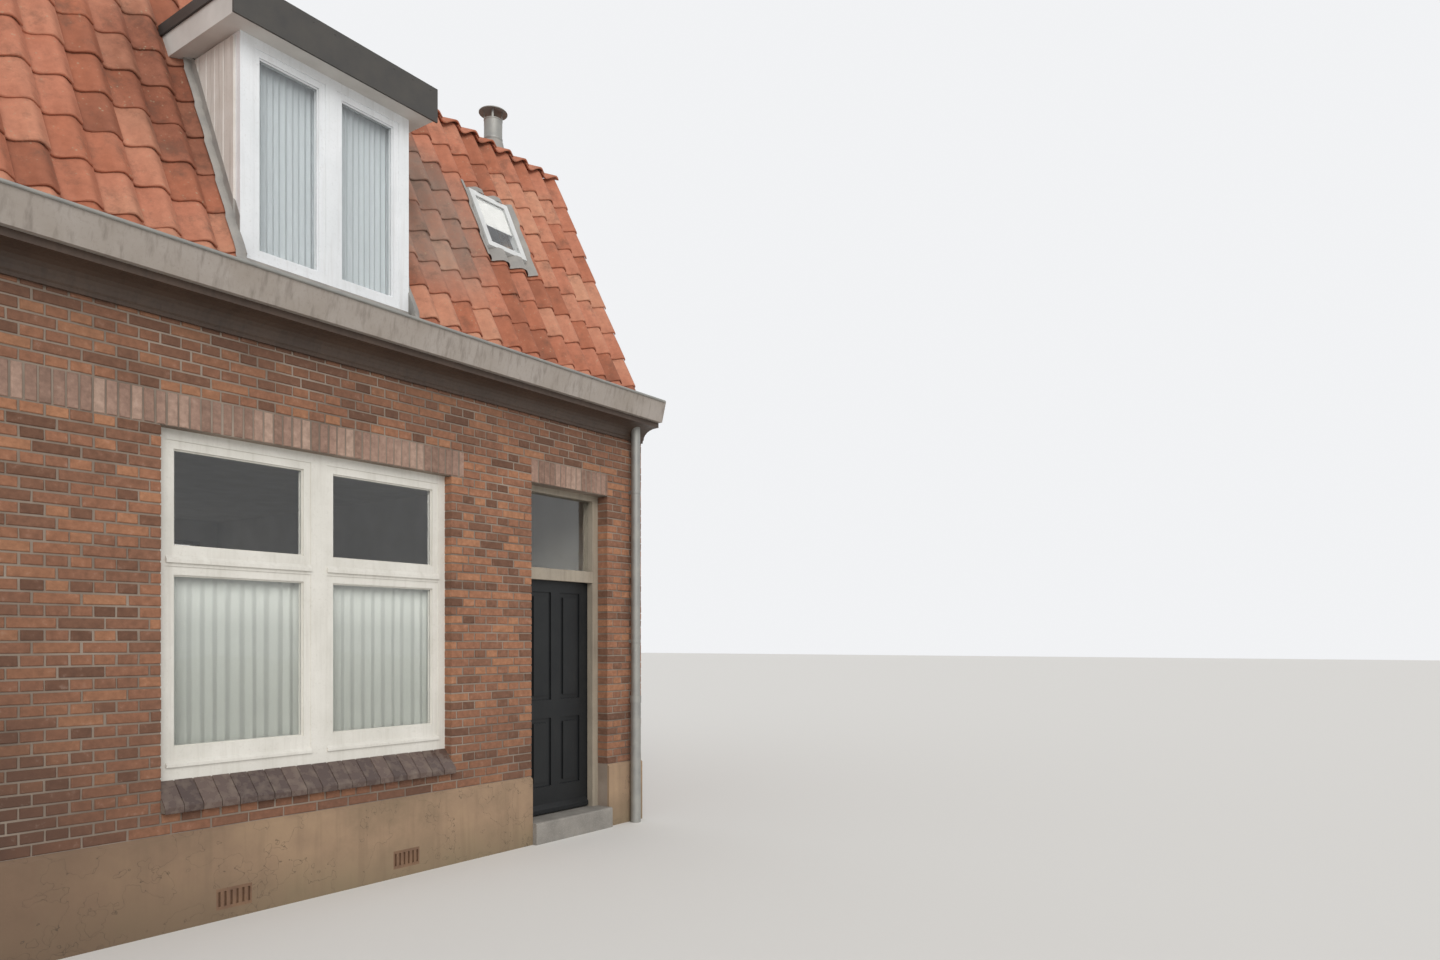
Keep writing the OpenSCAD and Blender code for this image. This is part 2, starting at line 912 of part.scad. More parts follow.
// The cornice's hollow, swept from the fillet to the lip
function cornice_curve() = [for (a = [0 : 15 : 90]) [
    face_y - curve_start[0] - (cornice_out - lip[0] - curve_start[0]) * (1 - cos(a)),
    cornice_z + curve_start[1] + (cornice_h - lip[1] - curve_start[1]) * sin(a)
]];

module cornice_run() {
    outer = face_y - cornice_out;
    difference() {
        across(-half_w, half_w) polygon(concat(
            [[face_y, cornice_z], [face_y - fillet[0], cornice_z]],
            [[face_y - fillet[0], cornice_z + fillet[1]]],
            cornice_curve(),
            [[outer, wall_h - lip[1]], [outer, wall_h], [face_y, wall_h]]
        ));
        pipe_hole(cornice_z);
    }
}

module pipe_hole(z) {
    translate([half_w - pipe_in, face_y - pipe_off, z - past])
        cylinder(r = pipe_r + fit_gap, h = cornice_h + 2 * past);
}

module cornices() {
    color("#43342a") {
        cornice_run();
        at_back() cornice_run();
    }
}

// The gutter's ends and back board leave the tiles' tails this much room
tail_room = 70;

module gutter_run() {
    top_z = wall_h + gutter_h;
    back_z = wall_h + gutter_back_h;
    foot_y = gutter_y + gutter_lean;
    lean = gutter_lean / gutter_h;
    difference() {
        across(-half_w, half_w) polygon([
            [face_y, wall_h], [foot_y, wall_h], [gutter_y, top_z], [face_y - tail_room, top_z],
            [face_y - tail_room, back_z], [face_y, back_z]
        ]);
        across(-half_w + gutter_t, half_w - gutter_t) polygon([
            [face_y - gutter_t, wall_h + gutter_t],
            [foot_y + gutter_t - lean * gutter_t, wall_h + gutter_t],
            [gutter_y + gutter_t, top_z + past], [face_y - gutter_t, top_z + past]
        ]);
    }
}

module front_gutter() {
    color("#a39a92") gutter_run();
}

module back_gutter() {
    color("#a39a92") at_back() gutter_run();
}

foot_swell = 5;
collar_swell = 9;
collar_h = 60;
bracket_swell = 4;
bracket_h = 30;
bracket_w = 24;

module downpipe() {
    x = half_w - pipe_in;
    y = face_y - pipe_off;
    translate([x, y, 0]) cylinder(r = pipe_r, h = wall_h);
    translate([x, y, 0]) cylinder(r = pipe_r + foot_swell, h = pipe_foot_h);
    translate([x, y, pipe_foot_h]) cylinder(r = pipe_r + collar_swell, h = collar_h);
    for (z = [pipe_foot_h * 1.5, wall_h * 0.82]) {
        translate([x, y, z]) cylinder(r = pipe_r + bracket_swell, h = bracket_h);
        block([x - bracket_w / 2, y, z], [x + bracket_w / 2, face_y, z + bracket_h]);
    }
}

module downpipes() {
    color(zinc) {
        downpipe();
        at_back() downpipe();
    }
}

// Dormer: a flat-roofed box on the steep slope, its cheeks cut to the slope

module dormer_cheeks() {
    color("#c2beb8") for (x = [dormer_x0, dormer_x1 - cheek_t])
        across(x, x + cheek_t) polygon([
            [dormer_y1, slope_z(dormer_y1)], [dormer_y1, dormer_z1], [slope_y(dormer_z1), dormer_z1]
        ]);
}

dormer_bay_w = (dormer_w - 2 * dormer_post_w - dormer_mullion_w) / 2;
dormer_bays = [for (i = [0, 1])
    let (x = dormer_x0 + dormer_post_w + i * (dormer_bay_w + dormer_mullion_w))
    [x, x + dormer_bay_w, dormer_z0 + frame_foot_h, dormer_z1 - frame_head_h]];
dormer_rails = [stile_w * 0.9, stile_w * 1.1, stile_w * 0.9];

module dormer_frame() {
    color("#d2d4d8") difference() {
        slab([dormer_x0, dormer_x1, dormer_z0, dormer_z1], dormer_y0, dormer_y1);
        for (b = dormer_bays) slab(b, dormer_y0 - past, dormer_y1 + past);
    }
}

module dormer_sashes() {
    color("#d2d4d8") for (b = dormer_bays) sash(b, dormer_rails, dormer_y0 + sash_back);
}

module dormer_glass() {
    color(clear_glass, 0.5) for (b = dormer_bays)
        pane(inset(b, dormer_rails), dormer_y0 + sash_back + sash_t / 2);
}

module dormer_roof() {
    color("#c9cacb") difference() {
        block([dormer_x0 - deck_side, dormer_y0 - deck_over, dormer_z1],
              [dormer_x1 + deck_side, break_y, dormer_z1 + deck_h]);
        roof_envelope();
    }
}

module dormer_roof_edge() {
    z0 = dormer_z1 - edge_drop;
    z1 = dormer_z1 + deck_h + edge_up;
    color("#5b5957") difference() {
        block([dormer_x0 - deck_side - edge_t, dormer_y0 - deck_over - edge_t, z0],
              [dormer_x1 + deck_side + edge_t, break_y, z1]);
        block([dormer_x0 - deck_side, dormer_y0 - deck_over, z0 - past],
              [dormer_x1 + deck_side, break_y + past, z1 + past]);
        block([dormer_x0 - deck_side - past, dormer_y0 - deck_over, z0 - past],
              [dormer_x1 + deck_side + past, break_y + past, z1 - edge_side_h]);
        roof_envelope();
    }
}

// Roof window and flue

module roof_window_rim() {
    color("#d6d8d8") difference() {
        on_lower_slope(skylight_x, skylight_s)
            translate([-skylight_w / 2, -skylight_l / 2, 0]) cube([skylight_w, skylight_l, skylight_up]);
        skylight_hole();
    }
}

module roof_window_glass() {
    glass_sunk = 18;
    w = skylight_w - 2 * skylight_rim;
    l = skylight_l - 2 * skylight_rim;
    color(clear_glass, 0.5) on_lower_slope(skylight_x, skylight_s)
        translate([-w / 2, -l / 2, skylight_up - glass_sunk]) cube([w, l, glass_t]);
}

cap_h = 45;
strap_w = 18;
strap_hold = 60;

module flue_pipe() {
    base_z = break_z + (flue_y - break_y) * tan(high_angle);
    foot_z = base_z - roof_t / cos(high_angle) - flue_r;
    mouth_z = base_z + flue_up;
    color("#8b8b88") {
        difference() {
            union() {
                translate([flue_x, flue_y, foot_z]) cylinder(r = flue_r, h = mouth_z - foot_z);
                on_upper_slope(flue_x, flue_y)
                    translate([-lead_l / 2, -lead_l / 2, 0]) cube([lead_l, lead_l, lead_t]);
            }
            translate([flue_x, flue_y, foot_z - past])
                cylinder(r = flue_r - flue_wall, h = mouth_z - foot_z + 2 * past);
        }
        translate([flue_x, flue_y, mouth_z + cap_gap]) cylinder(r1 = cap_r, r2 = cap_r * 0.3, h = cap_h);
        for (a = [0 : 90 : 270]) translate([flue_x, flue_y, 0]) rotate([0, 0, a + 45])
            block([flue_r - flue_wall, -strap_w / 2, mouth_z - strap_hold],
                  [flue_r, strap_w / 2, mouth_z + cap_gap + 1]);
    }
}

ground_floor();
front_wall();
front_wall_over_door();
front_wall_pier();
back_wall();
left_party_wall();
right_party_wall();
plinth();
air_bricks();
soldier_courses();
window_sills();
front_window_frame();
front_window_sashes();
front_window_glass();
front_door_frame();
fanlights();
doorsteps();
front_door_leaf();
front_door_knobs();
front_door_hinges();
front_hinge_pins();
back_window_frame();
back_window_sashes();
back_window_glass();
back_door_frame();
back_door_leaf();
attic_floor();
roof_front_lower();
roof_front_upper();
roof_back_lower();
roof_back_upper();
ridge_tiles();
cornices();
front_gutter();
back_gutter();
downpipes();
dormer_cheeks();
dormer_frame();
dormer_sashes();
dormer_glass();
dormer_roof();
dormer_roof_edge();
roof_window_rim();
roof_window_glass();
flue_pipe();
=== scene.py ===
import math
import random
from functools import partial

import bmesh
import bpy
from mathutils import Matrix, Vector, noise


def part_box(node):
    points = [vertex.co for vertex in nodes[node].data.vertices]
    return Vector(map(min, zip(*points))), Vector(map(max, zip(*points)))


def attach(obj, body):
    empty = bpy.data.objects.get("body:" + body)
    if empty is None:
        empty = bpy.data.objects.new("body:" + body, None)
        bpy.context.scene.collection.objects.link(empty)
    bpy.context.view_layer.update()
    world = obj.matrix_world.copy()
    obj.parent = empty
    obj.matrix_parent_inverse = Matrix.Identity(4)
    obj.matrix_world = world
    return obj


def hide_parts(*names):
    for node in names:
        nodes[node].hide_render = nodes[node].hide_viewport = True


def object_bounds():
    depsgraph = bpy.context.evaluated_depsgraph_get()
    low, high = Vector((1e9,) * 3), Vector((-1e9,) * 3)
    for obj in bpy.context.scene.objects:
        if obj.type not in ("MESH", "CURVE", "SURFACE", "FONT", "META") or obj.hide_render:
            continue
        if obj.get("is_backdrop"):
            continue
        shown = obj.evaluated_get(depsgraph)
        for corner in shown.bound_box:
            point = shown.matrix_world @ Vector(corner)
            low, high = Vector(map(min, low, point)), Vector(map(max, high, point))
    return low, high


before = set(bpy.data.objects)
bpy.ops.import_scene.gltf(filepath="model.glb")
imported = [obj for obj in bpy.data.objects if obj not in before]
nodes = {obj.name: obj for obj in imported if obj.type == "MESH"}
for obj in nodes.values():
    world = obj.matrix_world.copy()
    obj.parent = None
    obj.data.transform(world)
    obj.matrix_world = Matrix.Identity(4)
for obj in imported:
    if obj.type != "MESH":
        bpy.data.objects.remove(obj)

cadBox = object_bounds()
scene = bpy.context.scene


# nodes

def toLinear(hexColour):
    # sRGB hex to the linear RGBA that sockets hold
    parts = [int(hexColour[i:i + 2], 16) / 255 for i in (1, 3, 5)]
    return [p / 12.92 if p <= 0.04045 else ((p + 0.055) / 1.055) ** 2.4 for p in parts] + [1.0]


def setInputs(tree, node, *values):
    # inputs in their order or, in a dictionary, by name: a value, hex colour, socket or node
    live = [s for s in node.inputs if s.enabled]
    for place, value in enumerate(values):
        pairs = [(s, value.get(s.name)) for s in live] if isinstance(value, dict) else [(live[place], value)]
        for socket, given in pairs:
            if isinstance(given, bpy.types.Node):
                given = next(s for s in given.outputs if s.enabled)
            if isinstance(given, bpy.types.NodeSocket):
                tree.links.new(given, socket)
            elif given is not None:
                isColour = isinstance(given, str) and given.startswith("#")
                socket.default_value = toLinear(given) if isColour else given


def addNode(tree, kind, *values, stops=(), **settings):
    # one node: its kind and, after a space, its operation or data type, then inputs and settings
    kind, _, mode = kind.partition(" ")
    families = ("GeometryNode", "FunctionNode", "ShaderNode") if tree.type == "GEOMETRY" else ("ShaderNode",)
    node = tree.nodes.new(next(f + kind for f in families if hasattr(bpy.types, f + kind)))
    if mode:
        setattr(node, "operation" if hasattr(node, "operation") else "data_type", mode)
    for key, value in settings.items():
        setattr(node, key, value)
    if stops:
        for place, _ in stops[1:-1]:
            node.color_ramp.elements.new(place)
        for point, (place, colour) in zip(node.color_ramp.elements, stops):
            point.position = place
            point.color = toLinear(colour)
    setInputs(tree, node, *values)
    return node


def newMaterial(name, *noises):
    # a material, what adds nodes to it, its object coordinates, and noises on them by scale, detail
    # and roughness. A scale is one over a size in metres, such as 420 for grit of 2.4 mm
    material = bpy.data.materials.new(name)
    material.use_nodes = True
    add = partial(addNode, material.node_tree)
    place = add("TexCoord").outputs["Object"]
    return material, add, place, *[add("TexNoise", place, *sizes) for sizes in noises]


def dress(material, colour, roughness, relief=None, others={}):
    # its shader's inputs: roughness may be a pattern with its range; relief is height, strength, depth
    tree = material.node_tree
    if isinstance(roughness, tuple):
        roughness = addNode(tree, "MapRange", *roughness)
    bump = addNode(tree, "Bump", dict(zip(("Height", "Strength", "Distance"), relief))) if relief else None
    setInputs(tree, tree.nodes["Principled BSDF"],
              {"Base Color": colour, "Roughness": roughness, "Normal": bump, **others})
    return material


def layered(add, colour, *layers):
    # colours over one another, each thicker where its pattern runs from low to high
    for pattern, low, high, most, shade in layers:
        colour = add("Mix RGBA", add("MapRange", pattern, low, high, 0.0, most), colour, shade)
    return colour


def facing(add, limit, side="GREATER_THAN"):
    # whether a face looks up, or down
    return add("Math " + side, add("SeparateXYZ", add("NewGeometry").outputs["Normal"]).outputs["Z"], limit)


def newTree(name, sockets):
    # a geometry tree, what adds nodes to it, its named inputs and its outlet
    tree = bpy.data.node_groups.new(name, "GeometryNodeTree")
    tree.interface.new_socket(name="Geometry", in_out="OUTPUT", socket_type="NodeSocketGeometry")
    for kind, labels in sockets.items():
        for label in labels.split():
            tree.interface.new_socket(name=label, in_out="INPUT", socket_type="NodeSocket" + kind)
    given = tree.nodes.new("NodeGroupInput").outputs
    return tree, partial(addNode, tree), given, tree.nodes.new("NodeGroupOutput").inputs[0]


def pointGrid(add, columns, rows):
    # a point for each place in a grid, with its column and its row
    index = add("InputIndex")
    row = add("Math FLOOR", add("Math DIVIDE", add("Math ADD", index, 0.5), columns))
    return add("Points", add("Math MULTIPLY", columns, rows)), add("Math FLOORED_MODULO", index, columns), row


def shapesOn(add, points, shape, seed, gone=None, turn=None):
    # a tone of its own for each point, then a real copy of the shape on it
    tone = add("RandomValue FLOAT", 0.0, 1.0, {"Seed": seed})
    points = add("StoreNamedAttribute FLOAT", points, {"Name": "tone", "Value": tone})
    if gone:
        points = add("DeleteGeometry", points, gone, domain="POINT")
    unit = add("ObjectInfo", shape).outputs["Geometry"]
    return add("RealizeInstances", add("InstanceOnPoints", points, {"Instance": unit, "Rotation": turn}))


def paintOut(tree, add, shapes, given, outlet):
    # the tree's last step
    tree.links.new(add("SetMaterial", shapes, {"Material": given["Material"]}).outputs[0], outlet)
    return tree


def runTree(tree, values):
    # the plain mesh that a geometry tree makes from these input values
    host = bpy.data.objects.new("host", bpy.data.meshes.new("host"))
    scene.collection.objects.link(host)
    modifier = host.modifiers.new("made", "NODES")
    modifier.node_group = tree
    for item in tree.interface.items_tree:
        if item.in_out == "INPUT":
            modifier[item.identifier] = values[item.name]
    host.update_tag()
    graph = bpy.context.evaluated_depsgraph_get()
    mesh = bpy.data.meshes.new_from_object(host.evaluated_get(graph), depsgraph=graph)
    host.modifiers.clear()
    bpy.data.objects.remove(host)
    return mesh


# meshes

def meshFrom(name, rows, faces, material=None):
    # a mesh from rows of points
    mesh = bpy.data.meshes.new(name)
    mesh.from_pydata([tuple(v) for row in rows for v in row], [], faces)
    mesh.update()
    if material:
        mesh.materials.append(material)
    return mesh


def joinMeshes(name, meshes):
    # several meshes as one, attributes and materials kept
    parts = [bpy.data.objects.new(name, mesh) for mesh in meshes]
    for part in parts:
        scene.collection.objects.link(part)
    with bpy.context.temp_override(
            active_object=parts[0], selected_editable_objects=parts, selected_objects=parts):
        bpy.ops.object.join()
    mesh = parts[0].data
    bpy.data.objects.remove(parts[0])
    mesh.name = name
    return mesh


def edited(mesh, change):
    # the mesh after a change to its bmesh
    bm = bmesh.new()
    bm.from_mesh(mesh)
    change(bm)
    bm.to_mesh(mesh)
    bm.free()
    return mesh


def smoothUnder(mesh, degrees):
    # smooth faces, with the edges sharper than this kept hard
    def smooth(bm):
        for face in bm.faces:
            face.smooth = True
        for edge in bm.edges:
            edge.smooth = len(edge.link_faces) != 2 or edge.calc_face_angle(0) < math.radians(degrees)
    return edited(mesh, smooth)


def outward(mesh):
    # normals that point out of each closed shell
    return edited(mesh, lambda bm: bmesh.ops.recalc_face_normals(bm, faces=bm.faces[:]))


def everything(bm):
    return bm.verts[:] + bm.edges[:] + bm.faces[:]


def cutBehind(mesh, planes):
    # keeps what lies behind every plane (point, outward normal), and closes the cuts
    def cut(bm):
        for point, normal in planes:
            made = bmesh.ops.bisect_plane(
                bm, geom=everything(bm), plane_co=point, plane_no=normal, clear_outer=True)
            rims = [e for e in made["geom_cut"] if isinstance(e, bmesh.types.BMEdge) and e.is_boundary]
            bmesh.ops.holes_fill(bm, edges=rims, sides=0)
    return edited(mesh, cut)


def onBack(mesh):
    # the same piece on the back wall, mirrored as the CAD mirrors it
    copy = mesh.copy()
    copy.transform(Matrix.Scale(-1, 4, (0, 1, 0)))
    copy.flip_normals()
    return copy


def gridOf(rows, columns, point):
    # rows of points, each made from its column and row
    return [[Vector(point(c, r)) for c in range(columns + 1)] for r in range(rows + 1)]


def gridFaces(rows, n, closed=False):
    # faces between rows of n points, and from each row's end to its start where the rows are closed
    return [(r * n + i, r * n + (i + 1) % n, (r + 1) * n + (i + 1) % n, (r + 1) * n + i)
            for r in range(rows - 1) for i in range(n if closed else n - 1)]


def loft(name, rings, material=None):
    # a closed shell through rings of points
    rows, n = len(rings), len(rings[0])
    caps = [tuple(range(n)), tuple((rows - 1) * n + i for i in range(n))]
    return outward(meshFrom(name, rings, gridFaces(rows, n, True) + caps, material))


def turned(name, profile, steps, material=None):
    # a (radius, height) profile turned about the upright axis; radius 0 at an end closes it
    verts, rings = [], []
    for radius, z in profile:
        ring = steps if radius else 1
        rings.append([len(verts) + i % ring for i in range(steps)])
        verts += [(radius * math.cos(2 * math.pi * i / steps), radius * math.sin(2 * math.pi * i / steps), z)
                  for i in range(ring)]
    isTube = profile[0][0] and profile[-1][0]
    faces = []
    for low, high in zip(rings, rings[1:] + rings[:1] if isTube else rings[1:]):
        for i in range(steps):
            j = (i + 1) % steps
            face = tuple(dict.fromkeys((low[i], low[j], high[j], high[i])))
            if len(face) > 2:
                faces.append(face)
    return smoothUnder(outward(meshFrom(name, [verts], faces, material)), 40)


def rodAlong(name, start, length, radius, material):
    # a rod along the street
    rod = turned(name, [(0, 0), (radius, 0), (radius, length), (0, length)], 12, material)
    rod.transform(Matrix.Translation(start) @ Matrix.Rotation(math.pi / 2, 4, "Y"))
    return rod


def addPiece(name, mesh, stands=()):
    # mesh data as a piece of the house, which stands for CAD nodes where it is given any
    piece = bpy.data.objects.new(name, mesh)
    scene.collection.objects.link(piece)
    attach(piece, "house")
    if stands:
        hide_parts(*stands)
    return piece


def addBoth(name, mesh):
    # a piece on the front, and the same one on the back
    addPiece("front" + name, mesh)
    addPiece("back" + name, onBack(mesh))


def finish(material, *names):
    # CAD nodes keep their shape and take this finish
    for name in names:
        slots = nodes[name].data.materials
        slots.clear()
        slots.append(material)


# sizes read from the frame, so that the pieces follow the CAD, and those that no box gives

house = {
    "bandPast": 0.11,      # soldier course past the window
    "bandTall": 0.187,
    "eaveRise": 0.13,      # foot of the tiled slope over the wall
    "ridgeZ": 7.25,
    "rimMiddle": 1.54,     # roof window, up the slope
    "rimHalf": 0.29,
    "outerSkin": 0.16,     # share of a wall that shows mortar, in from its face
}


def span(node, axis):
    low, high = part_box(node)
    return low[axis], high[axis]


wallX = span("roof_back_lower", 0)
faceY = span("front_wall_over_door", 1)[0]
wallTop = span("front_wall_over_door", 2)[1]
plinthTop = span("plinth", 2)[1]
windowX, windowZ = span("front_window_frame", 0), span("front_window_frame", 2)
doorX, doorTop = span("front_door_frame", 0), span("front_door_frame", 2)[1]
sillFoot = span("window_sills", 2)[0]
bandEnd = windowX[1] + house["bandPast"]
bandTop, doorBand = windowZ[1] + house["bandTall"], doorTop + house["bandTall"]
eaveZ, ridgeZ = wallTop + house["eaveRise"], house["ridgeZ"]
breakZ = span("roof_front_lower", 2)[1]
breakY = span("roof_front_upper", 1)[0]
lowAngle = math.atan2(breakZ - eaveZ, breakY - faceY)
highAngle = math.atan2(ridgeZ - breakZ, -breakY)
print("sizes read", [round(v, 3) for v in (faceY, wallTop, eaveZ, breakZ, breakY)])


# walls and bricks

def brickMaterial(name, palette, mortarShade, weather=1.0):
    # hand-moulded brick: creased sandy face, each brick its own firing colour, soot, painted shade under the
    # cornice, and lime on it
    material, add, place, cloud, patch, grit, crease = newMaterial(
        name, (1.1, 3.0), (26.0, 5.0, 0.65), (420.0, 3.0, 0.7), (70.0, 4.0, {"Distortion": 0.8}))
    firing = add("ValToRGB", add("Attribute", attribute_name="tone").outputs["Fac"], stops=palette)
    body = add("Mix RGBA", 1.0, firing, add("MapRange", patch, 0.35, 0.7, 0.78, 1.16), blend_type="MULTIPLY")
    # soot and painted shade under the cornice, damp near the ground, most of it at the left
    x, _, z = add("SeparateXYZ", place).outputs
    high = add("MapRange", z, 2.85, 3.35, 0.0, 0.5)
    low = add("MapRange", z, 1.5, 0.5, 0.0, 0.4)
    leftward = add("MapRange", x, -1.2, -2.2, 0.0, 0.75)
    downward = add("MapRange", z, 2.5, 1.2, 0.0, 1.0)
    stainAndShade = add("Math ADD", add("Math MULTIPLY_ADD", leftward, downward, high), low)
    uneven = add("MapRange", cloud, 0.3, 0.7, 0.7 * weather, 1.25 * weather)
    agedAndShaded = add("Mix RGBA", add("Math MULTIPLY", stainAndShade, uneven, use_clamp=True), body, "#5b4439")
    limed = layered(add, agedAndShaded, (patch, 0.6, 0.8, 0.35, mortarShade))
    height = add("Math MULTIPLY_ADD", crease, 0.6, grit)
    return dress(material, limed, (grit, 0.3, 0.7, 0.82, 0.98), (height, 0.7, 0.003),
                 {"Specular IOR Level": 0.3})


def wallMaterial():
    # lime mortar on the outside of the walls, limewashed plaster on the room side
    material, add, place, sand, damp = newMaterial("limeMortarAndPlaster", (300.0, 4.0, 0.7), (2.3, 5.0))
    x, y, _ = add("SeparateXYZ", add("VectorMath ABSOLUTE", place)).outputs
    deepX, deepY = [add("Math GREATER_THAN", way, face - house["outerSkin"])
                    for way, face in ((x, wallX[1]), (y, -faceY))]
    mortar = add("ValToRGB", damp, stops=[(0.3, "#6f6257"), (0.55, "#8b7d70"), (0.75, "#9f9184")])
    plaster = add("ValToRGB", damp, stops=[(0.3, "#cfc9bd"), (0.7, "#ded9cf")])
    colour = add("Mix RGBA", add("Math MAXIMUM", deepX, deepY), plaster, mortar)
    return dress(material, colour, 0.95, (sand, 0.6, 0.002))


handMouldedBrick = brickMaterial("handMouldedBrick", [
    (0.0, "#6e4f3f"), (0.25, "#86604c"), (0.5, "#946851"), (0.75, "#a07055"), (1.0, "#ac7b5c")], "#a3958a")
paleSoldierBrick = brickMaterial("paleSoldierBrick", [
    (0.0, "#8a6f61"), (0.5, "#a08273"), (1.0, "#b19686")], "#a89b90")
commonBrick = brickMaterial("commonBrick", [
    (0.0, "#6f4c3d"), (0.5, "#93644d"), (1.0, "#a8785c")], "#a3958a", weather=0.3)
finish(wallMaterial(), "front_wall", "front_wall_over_door", "front_wall_pier", "back_wall",
       "left_party_wall", "right_party_wall", "soldier_courses")
print("walls have their mortar and plaster")

# what a run is laid with, by the names of the tree's inputs
crossBond = {
    "Course": 0.0623,      # height of a course with its joint
    "Header": 0.110,       # width of a header with its joint; a stretcher has two
    "Joint": 0.011,
    "Waver": 0.0022,       # how unevenly they were laid and moulded
    "Bonded": 1.0,         # 0 where they stand side by side
}
soldiers = {"Bonded": 0.0, "Header": 0.0612, "Course": 0.19}
bricks = {
    "arris": 0.004,        # worn edge
    "proud": 0.005,        # face past the mortar
    "deep": 0.106,         # reach into the wall, so that the reveals are brick too
    "reveal": 0.003,       # brick ends past the mortar in an opening
}
party = {"deep": 0.02, "underTiles": 0.05, "bond": {"Waver": 0.003}}


def brickUnit(arris):
    # a worn brick of no size: each corner has the direction that it is pulled in
    ring = [(-1, -1), (1, -1), (1, 1), (-1, 1)]
    verts = [(0, 0, 0)] * 4 + [(0, arris, 0)] * 4 + [(-sx * arris, 0, -sz * arris) for sx, sz in ring]
    pulls = [(sx, 1, sz) for sx, sz in ring] + [(sx, -1, sz) for sx, sz in ring] * 2
    faces = [(3, 2, 1, 0), (8, 9, 10, 11)]
    for i, j in ((0, 1), (1, 2), (2, 3), (3, 0)):
        faces += [(i, j, j + 4, i + 4), (i + 4, j + 4, j + 8, i + 8)]
    mesh = meshFrom("brickUnit", [verts], faces)
    pull = mesh.attributes.new("pull", "FLOAT_VECTOR", "POINT")
    for item, value in zip(pull.data, pulls):
        item.vector = value
    return bpy.data.objects.new("brickUnit", mesh)


